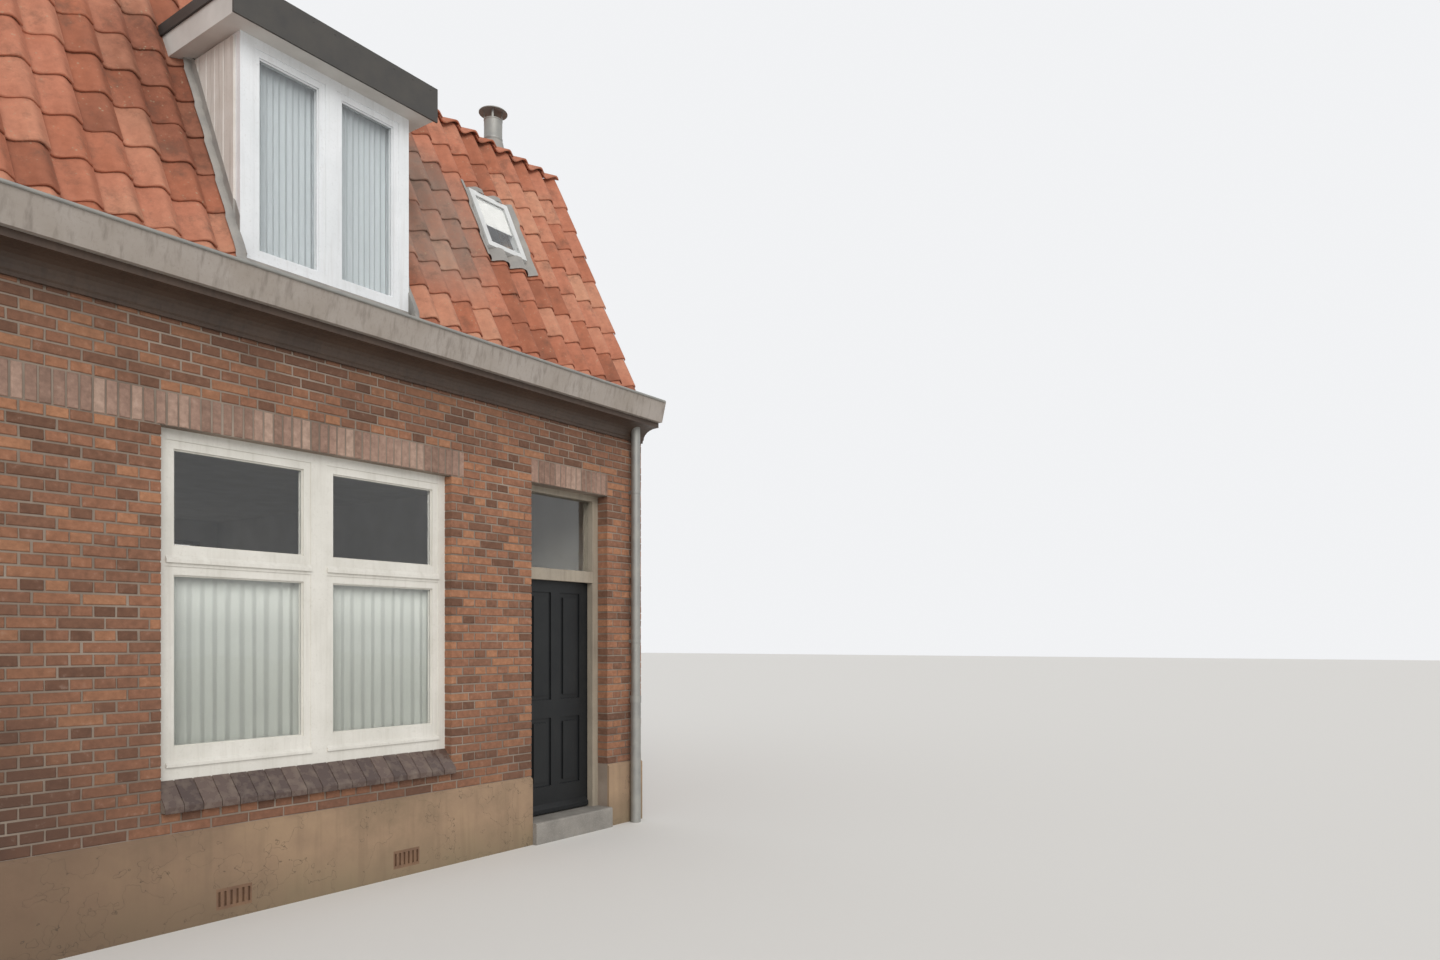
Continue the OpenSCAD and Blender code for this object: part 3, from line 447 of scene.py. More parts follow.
def brickTree():
    # bricks in cross bond, or soldiers side by side, cut to a box of wall
    tree, add, given, outlet = newTree("brickRun", {
        "Object": "Brick", "Vector": "Low High", "Float": "Base Course Header Joint Bonded Waver",
        "Int": "Seed", "Material": "Material"})
    header, course, waver = given["Header"], given["Course"], given["Waver"]
    low, high = [add("SeparateXYZ", given[end]).outputs for end in ("Low", "High")]
    across, upward = [add("Math CEIL", add("Math DIVIDE", add("Math SUBTRACT", high[way], low[way]), size))
                      for way, size in (("X", header), ("Z", course))]
    points, column, row = pointGrid(add, add("Math ADD", across, 6.0), add("Math ADD", upward, 2.0))
    # the place of this box in the wall's whole bond
    pairs = add("Math FLOOR", add("Math DIVIDE", low["X"], add("Math MULTIPLY", header, 2.0)))
    head = add("Math ADD", add("Math MULTIPLY_ADD", pairs, 2.0, -2.0), column)
    rise = add("Math DIVIDE", add("Math SUBTRACT", low["Z"], given["Base"]), course)
    layer = add("Math ADD", add("Math FLOOR", add("Math ADD", rise, 0.01)), row)
    parity = add("Math FLOORED_MODULO", layer, 2.0)
    isHeader = add("Math MAXIMUM", parity, add("Math SUBTRACT", 1.0, given["Bonded"]))
    isStretcher = add("Math SUBTRACT", 1.0, isHeader)
    odd = add("Math FLOORED_MODULO", add("Math FLOOR", add("Math MULTIPLY", layer, 0.5)), 2.0)
    shifted = add("Math MULTIPLY_ADD", add("Math ADD", odd, 0.5), isStretcher, head)
    fromX = add("Math MULTIPLY", shifted, header)
    toX = add("Math MULTIPLY_ADD", add("Math ADD", isStretcher, 1.0), header, fromX)
    # a piece under a third of a header is left out, and its neighbour reaches to the end of the run
    least = add("Math MULTIPLY", header, 0.33)
    nearLow, nearHigh, thinLow, thinHigh = [
        add("Math LESS_THAN", add("Math SUBTRACT", *ends), least)
        for ends in ((fromX, low["X"]), (high["X"], toX), (toX, low["X"]), (high["X"], fromX))]
    startZ = add("Math MULTIPLY_ADD", layer, course, given["Base"])
    start = add("Math SUBTRACT", fromX, nearLow), 0.0, startZ
    end = add("Math ADD", toX, nearHigh), 0.0, add("Math ADD", startZ, course)
    # each brick's room, less half a joint and a little at random, cut to the box
    share = add("Math MULTIPLY", given["Joint"], 0.5)
    joint = add("CombineXYZ", share, 0.0, share)
    spread = add("Math MULTIPLY", waver, -1.0)
    farOut = add("CombineXYZ", 0.0, 99.0)
    corners = []
    for corner, inner, outer, cut, limit in (
            (start, "ADD", "SUBTRACT", "MAXIMUM", "Low"), (end, "SUBTRACT", "ADD", "MINIMUM", "High")):
        room = add("VectorMath " + inner, add("CombineXYZ", *corner), joint)
        stray = add("RandomValue FLOAT", spread, waver, {"Seed": len(corners)})
        strayed = add("VectorMath ADD", room, add("CombineXYZ", stray))
        corners.append(add("VectorMath " + cut, add("VectorMath " + outer, strayed, farOut), given[limit]))
    reach = add("VectorMath SCALE", add("VectorMath SUBTRACT", corners[1], corners[0]), {"Scale": 0.5})
    out = add("CombineXYZ", 0.0, add("RandomValue FLOAT", spread, 0.0, {"Seed": 7}))
    stepped = add("VectorMath ADD", add("VectorMath ADD", corners[0], reach), out)
    placed = add("SetPosition", points, {"Position": stepped})
    sized = add("StoreNamedAttribute FLOAT_VECTOR", placed, {"Name": "reach", "Value": reach})
    # slivers and every second stretcher go
    flat = add("Math LESS_THAN", add("SeparateXYZ", reach).outputs["Z"], 0.007)
    second = add("Math MULTIPLY", add("Math FLOORED_MODULO", head, 2.0), isStretcher)
    sliver = add("Math MAXIMUM", add("Math MAXIMUM", thinLow, thinHigh), flat)
    gone = add("Math GREATER_THAN", add("Math MAXIMUM", sliver, second), 0.5)
    laid = shapesOn(add, sized, given["Brick"], given["Seed"], gone)
    pull, measure = [add("InputNamedAttribute FLOAT_VECTOR", {"Name": name}) for name in ("pull", "reach")]
    grown = add("SetPosition", laid, {"Offset": add("VectorMath MULTIPLY", pull, measure)})
    # moulded and laid by hand, so no edge is quite straight
    wave = add("TexNoise", add("InputPosition"), 9.0, 2.0).outputs["Color"]
    centred = add("VectorMath SUBTRACT", wave, (0.5, 0.5, 0.5))
    eased = add("VectorMath MULTIPLY", centred, add("CombineXYZ", waver, waver, waver))
    swayed = add("SetPosition", grown, {"Offset": add("VectorMath SCALE", eased, {"Scale": 3.0})})
    return paintOut(tree, add, swayed, given, outlet)


brickRun = brickTree()
unitBrick = brickUnit(bricks["arris"])


def layRun(low, high, material, seed, base, bond={}):
    # bricks, soldiers or boards in a box of wall that faces the street
    return runTree(brickRun, {"Brick": unitBrick, "Low": low, "High": high, "Base": base, "Seed": seed,
                              "Material": material, **crossBond, **bond})


def faceBricks(seed):
    # the bricks of a front, and the soldiers over its window and its door
    out = bricks["reveal"]
    left, right = windowX[0] + out, windowX[1] - out
    doorLeft, doorRight = doorX[0] + out, doorX[1] - out
    rooms = [
        (wallX[0], doorLeft, plinthTop, sillFoot), (wallX[0], left, sillFoot, windowZ[1]),
        (right, doorLeft, sillFoot, windowZ[1]), (bandEnd, doorLeft, windowZ[1], bandTop),
        (wallX[0], doorLeft, bandTop, doorBand), (doorRight, wallX[1], plinthTop, doorBand),
        (wallX[0], wallX[1], doorBand, wallTop - 0.02)]
    bands = [(wallX[0], bandEnd, windowZ[1] - out, bandTop), (*doorX, doorTop - out, doorBand)]

    def lay(room, *rest):
        x0, x1, z0, z1 = room
        return layRun((x0, faceY - bricks["proud"], z0), (x1, faceY + bricks["deep"], z1), *rest)
    runs = [lay(room, handMouldedBrick, seed + i, plinthTop) for i, room in enumerate(rooms)]
    uprights = [lay(band, paleSoldierBrick, seed + 20 + i, band[2], soldiers) for i, band in enumerate(bands)]
    return joinMeshes("bricks", runs), joinMeshes("soldiers", uprights)


def partyBricks(side, seed):
    # the bare party wall up to the tiles, laid facing the street and then turned to its side
    mesh = layRun((faceY, -wallX[1] - bricks["proud"], 0.0), (-faceY, -wallX[1] + party["deep"], ridgeZ),
                  commonBrick, seed, 0.0, party["bond"])
    drop = party["underTiles"]
    planes = []
    for toward in (-1, 1):  # under the four slopes, whose run lies along X until the turn
        foot = (toward * (-faceY - drop), 0, eaveZ)
        for point, angle in ((foot, lowAngle), ((0, 0, ridgeZ - drop), highAngle)):
            planes.append((point, (toward * math.sin(angle), 0, math.cos(angle))))
    cutBehind(mesh, planes)
    mesh.transform(Matrix.Rotation(side * math.pi / 2, 4, "Z"))
    return mesh


for side, seed in (("front", 11), ("back", 61)):
    for kind, slot, mesh in zip(("Bricks", "SoldierBricks"), ("brick", "soldier_brick"), faceBricks(seed)):
        addPiece(side + kind, onBack(mesh) if side == "back" else mesh)
addPiece("leftPartyBricks", partyBricks(-1, 31))
addPiece("rightPartyBricks", partyBricks(1, 32))
print("bricks laid")


# pantiles

pantiles = {
    "columns": 28,           # over the width of the house
    "rows": 9,               # on each slope
    "length": 0.36,
    "lap": 0.034,            # each tile over its right-hand neighbour
    "trough": 0.060,         # from the left edge to the lowest line
    "roll": 0.048,           # height of the roll over the trough
    "lift": 0.018,           # what the tail stands on
    "thick": 0.014,
    "bed": -0.018,           # the troughs a little under the CAD slope
    "boards": 0.052,         # top of the boards under the CAD slope
    "stray": 0.0022,
}
cover = (wallX[1] - wallX[0]) / pantiles["columns"]

# each slope's local axes are u along the street, v up the slope and w out of it
slopes = {}
for side, turn in (("front", 0), ("back", math.pi)):
    for part, gauge, start, angle, foot in (("Low", 0.285, -0.045, lowAngle, (0, faceY, eaveZ)),
                                            ("High", 0.290, -0.060, highAngle, (0, breakY, breakZ))):
        slopes[side + part] = {"gauge": gauge, "start": start, "angle": angle, "foot": foot, "turn": turn}


def tileHeight(u):
    # the tile's S across the slope, u from a tile's left edge
    wave = 0.5 * pantiles["roll"] * (1 - math.cos(2 * math.pi * (u - pantiles["trough"]) / cover))
    t = min(max((u - 0.65 * cover) / (0.35 * cover), 0), 1)
    return wave + pantiles["lift"] * t * t * (3 - 2 * t)


def pantileUnit():
    # one hollow clay tile: S-shaped over its width, a soft tail, closed all round
    length, thick, gauge = pantiles["length"], pantiles["thick"], slopes["frontLow"]["gauge"]
    across = [0, 0.018, 0.038, 0.06, 0.085, 0.108, 0.126, 0.143, 0.16, 0.177, 0.195, 0.214,
              cover + pantiles["lap"]]
    along = [(0.0, -0.005), (0.005, 0.0), (0.18, 0.0015), (length, 0.0), (length, -thick), (0.0, -thick)]
    rows = [[(u, v, pantiles["bed"] + tileHeight(u) + pantiles["lift"] * (1 - v / gauge) + dip)
             for u in across] for v, dip in along]
    n, count = len(across), len(across) * len(along)
    faces = [tuple(k % count for k in face) for face in gridFaces(len(along) + 1, n)]
    faces += [tuple(range(0, count, n)), tuple(range(count - 1, 0, -n))]
    return bpy.data.objects.new("pantileUnit", smoothUnder(outward(meshFrom("pantileUnit", rows, faces)), 40))


def pantileTree():
    # rows and columns of tiles on a slope, each a little out of line, with a tone of its own
    tree, add, given, outlet = newTree("pantileField", {
        "Object": "Tile", "Int": "Columns Rows Seed", "Float": "Cover Gauge Start Stray",
        "Material": "Material"})
    points, column, row = pointGrid(add, given["Columns"], given["Rows"])
    across = add("Math MULTIPLY", column, given["Cover"])
    upward = add("Math MULTIPLY_ADD", row, given["Gauge"], given["Start"])
    stray = given["Stray"]
    most = add("CombineXYZ", stray, add("Math MULTIPLY", stray, 1.6), stray)
    least = add("VectorMath SCALE", most, {"Scale": -1.0})
    strayed = add("RandomValue FLOAT_VECTOR", least, most, {"Seed": given["Seed"]})
    spot = add("VectorMath ADD", add("CombineXYZ", across, upward), strayed)
    placed = add("SetPosition", points, {"Position": spot})
    turn = add("RandomValue FLOAT_VECTOR", (-0.004, -0.01, -0.008), (0.004, 0.01, 0.008), {"Seed": 5})
    laid = shapesOn(add, placed, given["Tile"], given["Seed"], turn=turn)
    return paintOut(tree, add, laid, given, outlet)


def clayMaterial(name, palette, lichen):
    # fired clay: matt and sandy, pale with weather, with dark algae and round crusts of lichen
    material, add, place, cloud, blotch, growth, grit = newMaterial(
        name, (0.9, 3.0), (14.0, 6.0, 0.7), (5.5, 8.0, 0.75), (260.0, 3.0))
    drift = add("MapRange", cloud, 0.3, 0.7, -0.3, 0.3)
    mixed = add("Math MULTIPLY_ADD", add("Attribute", attribute_name="tone").outputs["Fac"], 0.7, drift)
    fired = add("ValToRGB", add("Math ADD", mixed, 0.15, use_clamp=True), stops=palette)
    body = add("Mix RGBA", 1.0, fired, add("MapRange", blotch, 0.3, 0.7, 0.82, 1.12), blend_type="MULTIPLY")
    # a darker red patch left of the dormer and a greyer one right of it, broken up by the growth pattern
    patchy = add("MapRange", growth, 0.35, 0.6, 0.6, 1.0)
    for middle, reach, most, patchTint in (((-0.97, -2.95, 4.95), (0.34, 1.0, 0.6), 0.78, "#6b3d2c"),
                                      ((0.76, -2.95, 4.9), (0.6, 1.0, 0.65), 0.62, "#8b857b")):
        far = add("VectorMath DIVIDE", add("VectorMath SUBTRACT", place, middle), reach)
        thick = add("MapRange", add("VectorMath LENGTH", far).outputs["Value"], 1.35, 0.75, 0.0, most)
        body = add("Mix RGBA", add("Math MULTIPLY", thick, patchy), body, patchTint)
    dark = layered(add, body, (growth, 0.52, 0.68, lichen, "#5d4a3e"))
    spots = add("TexVoronoi", {"Vector": place, "Scale": 38.0, "Randomness": 1.0}).outputs["Distance"]
    discs = add("MapRange", spots, 0.3, 0.12, 0.0, 1.0)
    where = add("MapRange", blotch, 0.52, 0.62, 0.0, 0.6)
    grown = add("Mix RGBA", add("Math MULTIPLY", discs, where, use_clamp=True), dark, "#a79c82")
    height = add("Math MULTIPLY_ADD", blotch, 0.8, grit)
    return dress(material, grown, (grit, 0.3, 0.7, 0.78, 0.95), (height, 0.5, 0.002),
                 {"Specular IOR Level": 0.35})


def pineMaterial(name, stretch, palette, over):
    # pine boards: grain drawn out along them, and what lies over the wood
    material, add, place = newMaterial(name)
    along = add("Mapping", {"Vector": place, "Scale": stretch})
    grain = add("TexNoise", along, 3.0, 6.0, {"Distortion": 0.4})
    share, shade = over(add, place)
    colour = add("Mix RGBA", share, add("ValToRGB", grain, stops=palette), shade)
    return dress(material, colour, 0.75, (grain, 0.3, 0.001))


def openJoints(add, place):
    # a dark line between boards, every 160 mm
    counted = add("Math MULTIPLY", add("SeparateXYZ", place).outputs["Y"], 1 / 0.16)
    return add("Math LESS_THAN", add("Math FRACT", counted), 0.03), "#2a211a"


def limewash(add, place):
    # a cloudy white ceiling on the underside
    lime = add("TexNoise", place, 6.0, 5.0)
    return facing(add, 0.0, "LESS_THAN"), add("ValToRGB", lime, stops=[(0.3, "#cfc9bc"), (0.7, "#dcd7cc")])


clayPantile = clayMaterial("clayPantile", [
    (0.0, "#8f5944"), (0.3, "#aa694f"), (0.6, "#b97960"), (1.0, "#c48f74")], 0.5)
finish(clayMaterial("clayRidge", [(0.0, "#8a5240"), (1.0, "#a9694f")], 0.75), "ridge_tiles")
roofBoards = pineMaterial("oldRoofBoards", (0.7, 9.0, 9.0), [(0.3, "#6b5138"), (0.7, "#8d7050")], openJoints)
pantileField = pantileTree()
unitPantile = pantileUnit()


def ontoSlope(mesh, slope):
    # from a slope's local axes to its place
    size = slopes[slope]
    turn, angle = Matrix.Rotation(size["turn"], 4, "Z"), Matrix.Rotation(size["angle"], 4, "X")
    mesh.transform(turn @ Matrix.Translation(size["foot"]) @ angle)
    return mesh


def takeOut(mesh, room):
    # takes the tiles out of a rectangle (u0, u1, v0, v1) of the slope, and closes the cut ones
    u0, u1, v0, v1 = room

    def near(face):
        us, vs = [v.co.x for v in face.verts], [v.co.y for v in face.verts]
        return min(us) <= u1 + 0.01 and max(us) >= u0 - 0.01 and min(vs) <= v1 + 0.01 and max(vs) >= v0 - 0.01

    def cut(bm):
        for axis, value in ((0, u0), (0, u1), (1, v0), (1, v1)):
            close = [f for f in bm.faces if near(f)]
            around = {e for f in close for e in f.edges} | {v for f in close for v in f.verts}
            normal = Vector((1 - axis, axis, 0))
            bmesh.ops.bisect_plane(bm, geom=list(around) + close, plane_co=normal * value, plane_no=normal)
        middles = [(f, f.calc_center_median()) for f in bm.faces]
        gone = [f for f, middle in middles if u0 < middle.x < u1 and v0 < middle.y < v1]
        bmesh.ops.delete(bm, geom=gone, context="FACES")
        bmesh.ops.holes_fill(bm, edges=[e for e in bm.edges if e.is_boundary], sides=0)
    return edited(mesh, cut)


def tileSlope(slope, seed, rooms):
    mesh = runTree(pantileField, {
        "Tile": unitPantile, "Columns": pantiles["columns"], "Rows": pantiles["rows"], "Cover": cover,
        "Gauge": slopes[slope]["gauge"], "Start": slopes[slope]["start"], "Stray": pantiles["stray"],
        "Seed": seed, "Material": clayPantile})
    mesh.transform(Matrix.Translation((wallX[0], 0, 0)))
    for room in rooms:
        takeOut(mesh, room)
    cutBehind(mesh, [((wallX[1] + 0.012, 0, 0), (1, 0, 0))])  # the last column's lap ends at the party line
    return ontoSlope(mesh, slope)


def roofDeck(node, slope):
    # the CAD slope cut down to its boards, so that the tiles have their room
    turn, angle = Matrix.Rotation(slopes[slope]["turn"], 3, "Z"), slopes[slope]["angle"]
    out = turn @ Vector((0, -math.sin(angle), math.cos(angle)))
    top = turn @ Vector(slopes[slope]["foot"]) - out * pantiles["boards"]

    def cut(bm):
        bmesh.ops.remove_doubles(bm, verts=bm.verts[:], dist=1e-5)
        bmesh.ops.bisect_plane(bm, geom=everything(bm), plane_co=top, plane_no=out, clear_outer=True)
        rims = [e for e in bm.edges if e.is_boundary]
        bmesh.ops.triangle_fill(bm, edges=rims, use_beauty=True, normal=out)
        bmesh.ops.recalc_face_normals(bm, faces=bm.faces[:])

    deck = edited(nodes[node].data.copy(), cut)
    deck.materials.clear()
    deck.materials.append(roofBoards)
    return deck


def slopeSpot(z):
    # distance up the lower slope to a height
    return (z - eaveZ) / math.sin(lowAngle)


dormerX, dormerZ = span("dormer_frame", 0), span("dormer_frame", 2)
rimX = span("roof_window_rim", 0)
rimV = (house["rimMiddle"] - house["rimHalf"], house["rimMiddle"] + house["rimHalf"])
flueLow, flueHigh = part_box("flue_pipe")
fluePlace = (flueLow + flueHigh) / 2
flueV = (fluePlace.y - breakY) / math.cos(highAngle)
# what stands in the tiles, with a little room round it
dormerRoom = (*dormerX, slopeSpot(dormerZ[0]) - 0.01, slopeSpot(span("dormer_roof", 2)[1]) + 0.01)
rimRoom = (rimX[0] - 0.012, rimX[1] + 0.012, rimV[0] - 0.02, rimV[1] + 0.03)
flueRoom = (fluePlace.x - 0.1, fluePlace.x + 0.1, flueV - 0.12, flueV + 0.12)

for node, slope, seed, rooms in (
        ("roof_front_lower", "frontLow", 3, [dormerRoom, rimRoom]),
        ("roof_front_upper", "frontHigh", 4, [flueRoom]),
        ("roof_back_lower", "backLow", 5, []),
        ("roof_back_upper", "backHigh", 6, [])):
    side = "".join(word.capitalize() for word in node.split("_")[1:])
    addPiece("roofBoards" + side, roofDeck(node, slope), [node])
    addPiece("pantiles" + side, tileSlope(slope, seed, rooms), [node])
print("pantiles hung")


# finishes of the other parts

def oilPaint(name, fresh, worn, grime, roughness, streaks=0.0, flakes=0.0, peel="#8d8375", gloss=0.5):
    # brushed oil paint on wood: faint brush lines, chalky wear, rain streaks and dirt
    material, add, place, cloud, fine, chip = newMaterial(
        name, (3.5, 5.0, 0.6), (60.0, 6.0, 0.7), (22.0, 8.0, 0.8))
    drip, lines = [add("TexNoise", add("Mapping", {"Vector": place, "Scale": stretch}), 1.0, *rest)
                   for stretch, rest in (((28.0, 28.0, 1.6), (4.0, 0.6)), ((240.0, 240.0, 18.0), (3.0,)))]
    dripped = add("MapRange", drip, 0.5, 0.72, 0.0, 0.12 + streaks)
    dusty = add("MapRange", fine, 0.55, 0.75, 0.0, 0.35)
    paint = layered(add, fresh, (cloud, 0.35, 0.7, 1.0, worn))
    soiled = add("Mix RGBA", add("Math MAXIMUM", dripped, dusty), paint, grime)
    bare = add("MapRange", chip, 0.66, 0.68, 0.0, flakes)
    chipped = add("Mix RGBA", bare, soiled, peel)
    height = add("Math MULTIPLY_ADD", bare, -1.2, lines)
    return dress(material, chipped, (fine, 0.3, 0.7, roughness - 0.08, roughness + 0.12),
                 (height, 0.25, 0.0012), {"Specular IOR Level": gloss})


def metalMaterial(name, clean, patina, metallic, roughness, spots=0.5, rust=None):
    # weathered sheet or cast metal: clouded patina, dull spots, rust where there is some
    material, add, _, cloud, fine = newMaterial(name, (7.0, 6.0, 0.65), (90.0, 5.0, 0.7))
    colour = layered(add, clean, (cloud, 0.35, 0.68, 1.0, patina), (fine, 0.58, 0.68, spots, rust or patina))
    return dress(material, colour, (cloud, 0.3, 0.7, roughness - 0.1, roughness + 0.12),
                 (fine, 0.3, 0.001), {"Metallic": metallic})


def cementMaterial():
    # trowelled cement render: sandy, yellow-brown, damp and green at the foot, fine cracks
    material, add, place, cloud, sand, warp = newMaterial(
        "trowelledCementRender", (2.4, 6.0, 0.62), (230.0, 4.0, 0.7), (6.0, 3.0))
    x, _, z = add("SeparateXYZ", place).outputs
    body = add("ValToRGB", cloud, stops=[(0.3, "#84705a"), (0.5, "#987f67"), (0.72, "#a68c70")])
    rising = add("MapRange", z, 0.34, 0.0, 0.0, 1.0)
    wet = add("Math MULTIPLY", rising, add("Math MULTIPLY", cloud, 1.5), use_clamp=True)
    drip = add("TexNoise", add("Mapping", {"Vector": place, "Scale": (16.0, 16.0, 1.2)}), 1.0, 4.0)
    streaked = layered(add, body, (wet, 0.12, 0.8, 0.62, "#6f6650"), (x, -0.2, -1.8, 0.65, "#5f4a3c"),
                       (drip, 0.5, 0.75, 0.4, "#75624f"))
    bend = add("VectorMath ADD", place, warp.outputs["Color"])
    cells = add("TexVoronoi", {"Vector": bend, "Scale": 1.7}, feature="DISTANCE_TO_EDGE")
    crack = add("MapRange", cells, 0.0, 0.006, 0.75, 0.0)
    cracked = add("Mix RGBA", crack, streaked, "#4b4035")
    return dress(material, cracked, 0.92, (add("Math MULTIPLY_ADD", crack, -2.0, sand), 0.5, 0.002))


def stoneMaterial(name, pale, dark, speck, roughness):
    # dressed stone, screed or mortar: clouded, with fine specks
    material, add, _, cloud, fine = newMaterial(name, (5.0, 6.0, 0.6), (170.0, 3.0))
    body = add("ValToRGB", cloud, stops=[(0.32, dark), (0.68, pale)])
    marked = layered(add, body, (fine, 0.58, 0.66, 0.6, speck))
    return dress(material, marked, roughness, (fine, 0.35, 0.0015))


def glassMaterial():
    # old drawn window glass: clear, a little wavy; lamps shine through it
    material, add, _, wave = newMaterial("drawnWindowGlass", (3.0, 1.0))
    dress(material, "#f8f9f9", 0.01, (wave, 0.12, 0.01), {"Transmission Weight": 1.0, "IOR": 1.5})
    tree = material.node_tree
    lit = add("LightPath").outputs["Is Shadow Ray"]
    both = add("MixShader", lit, tree.nodes["Principled BSDF"], add("BsdfTransparent", "#f2f4f4"))
    setInputs(tree, tree.nodes["Material Output"], both)
    return material


def tarredTopMaterial():
    # the dormer's deck: painted boards round it, tarred felt with grit on top
    material, add, _, cloud, grit = newMaterial("deckPaintAndTarredFelt", (4.0, 6.0), (300.0, 2.0))
    boards, felt = [add("ValToRGB", cloud, stops=[(0.35, dark), (0.65, pale)])
                    for dark, pale in (("#c3c0bb", "#d3d1cc"), ("#3d3c3b", "#5a5855"))]
    return dress(material, add("Mix RGBA", facing(add, 0.7), boards, felt), 0.8, (grit, 0.4, 0.001))


agedLead = metalMaterial("dressedLead", "#8e8b87", "#a5a099", 0.2, 0.65, 0.4)
agedZinc = metalMaterial("weatheredZinc", "#8f8f8c", "#a3a29c", 0.55, 0.55, 0.3)
edgeMetal = metalMaterial("tarredEdgeZinc", "#454341", "#524f4b", 0.3, 0.6, 0.3)
rimMetal = metalMaterial("coatedRimMetal", "#d8d9d8", "#c6c7c5", 0.0, 0.4, 0.2, "#9b978f")
cheekPaint = oilPaint("creamOilPaint", "#dcd8d2", "#cdc7be", "#978e83", 0.5, 0.3, 0.2)
for material, names in (
        (agedZinc, "downpipes"), (edgeMetal, "dormer_roof_edge"), (rimMetal, "roof_window_rim"),
        (cheekPaint, "dormer_cheeks"), (cementMaterial(), "plinth"), (tarredTopMaterial(), "dormer_roof"),
        (pineMaterial("pineFloorOverCeiling", (9.0, 0.7, 9.0), [(0.3, "#8a6a45"), (0.7, "#a98a62")],
                      limewash), "attic_floor"),
        (glassMaterial(), "front_window_glass back_window_glass fanlights dormer_glass roof_window_glass"),
        (oilPaint("whiteOilPaint", "#dfdcd4", "#d2cfc6", "#a59e90", 0.42, 0.1, 0.25),
         "front_window_frame front_window_sashes back_window_frame back_window_sashes"),
        (oilPaint("dormerOilPaint", "#e9ebed", "#dfe2e4", "#aaa69f", 0.42, 0.1, 0.15),
         "dormer_frame dormer_sashes"),
        (oilPaint("drabOilPaint", "#a39887", "#948a7c", "#6a6157", 0.5, 0.25, 0.3, "#6a5f52"),
         "front_door_frame back_door_frame"),
        (oilPaint("blackGlossPaint", "#17191b", "#1e2021", "#34322e", 0.4, 0.0, 0.1, "#4b453d", 0.3),
         "front_door_leaf back_door_leaf"),
        # the cornice's brown paint is made as dark as the shade under the gutter: partly painted shade
        (oilPaint("brownOilPaint", "#43342a", "#4e3d31", "#2c221b", 0.5, 0.3, 0.3, "#6b5a4b"), "cornices"),
        (oilPaint("stoneOilPaint", "#a39a92", "#968c82", "#6a6057", 0.55, 0.45, 0.35, "#7f7468"),
         "front_gutter back_gutter"),
        (metalMaterial("paintedCastIron", "#6f5442", "#84674f", 0.1, 0.7, 0.7, "#5a3f2c"), "air_bricks"),
        (metalMaterial("wornBrass", "#8d8468", "#a3946b", 1.0, 0.32, 0.3, "#6a5f45"), "front_door_knobs"),
        (metalMaterial("zincPlatedSteel", "#8d8d8b", "#7c7b78", 0.9, 0.4, 0.3, "#7a5c45"),
         "front_door_hinges front_hinge_pins"),
        (stoneMaterial("dressedBlueStone", "#928d86", "#77736d", "#a9a59e", 0.75), "doorsteps"),
        (stoneMaterial("sandCementScreed", "#8f887d", "#7c766c", "#9d978c", 0.9), "ground_floor"),
        (stoneMaterial("sillMortar", "#7d7166", "#6d6258", "#8b8075", 0.9), "window_sills")):
    finish(material, *names.split())
print("finishes given")


# things that stand in rows

def rowTree():
    # copies of one shape along a straight line
    tree, add, given, outlet = newTree("shapeRow", {
        "Object": "Shape", "Vector": "Start Step Stray", "Int": "Count", "Material": "Material"})
    line = add("MeshLine", {
        "Count": given["Count"], "Start Location": given["Start"], "Offset": given["Step"]}, mode="OFFSET")
    least = add("VectorMath SCALE", given["Stray"], {"Scale": -1.0})
    stray = add("RandomValue FLOAT_VECTOR", least, given["Stray"], {"Seed": 3})
    moved = add("SetPosition", line, {"Offset": stray})
    return paintOut(tree, add, shapesOn(add, moved, given["Shape"], 9), given, outlet)


shapeRow = rowTree()


def inRow(shape, start, step, count, material, stray):
    unit = bpy.data.objects.new(shape.name, shape)
    return runTree(shapeRow, {"Shape": unit, "Start": start, "Step": (step, 0, 0), "Count": count,
                              "Stray": stray, "Material": material})


def glazedTileMaterial():
    # dark glazed clay: brown-black glaze, glossy with dust on it
    material, add, _, cloud = newMaterial("glazedSillTile", (18.0, 6.0))
    tone = add("Attribute", attribute_name="tone").outputs["Fac"]
    fired = add("ValToRGB", tone, stops=[(0.0, "#4a3b36"), (1.0, "#604f47")])
    dust = add("MapRange", cloud, 0.45, 0.75, 0.0, 0.55)
    dusty = add("Mix RGBA", dust, fired, "#85786c")
    return dress(material, dusty, (dust, 0.0, 0.5, 0.22, 0.6), (cloud, 0.2, 0.001))


sills = {
    "width": 0.1047, "joint": 0.004, "thick": 0.014,
    "out": 0.008,          # tile face past the mortar's nose
    "nose": 0.026,         # height of the nose
    "back": 0.069,         # reach past the wall's face, under the frame
    "soft": 0.003,         # worn ends, drawn in by a share of the section
    "worn": 0.03,
    "stray": (0.0006, 0.001, 0.0008),
}


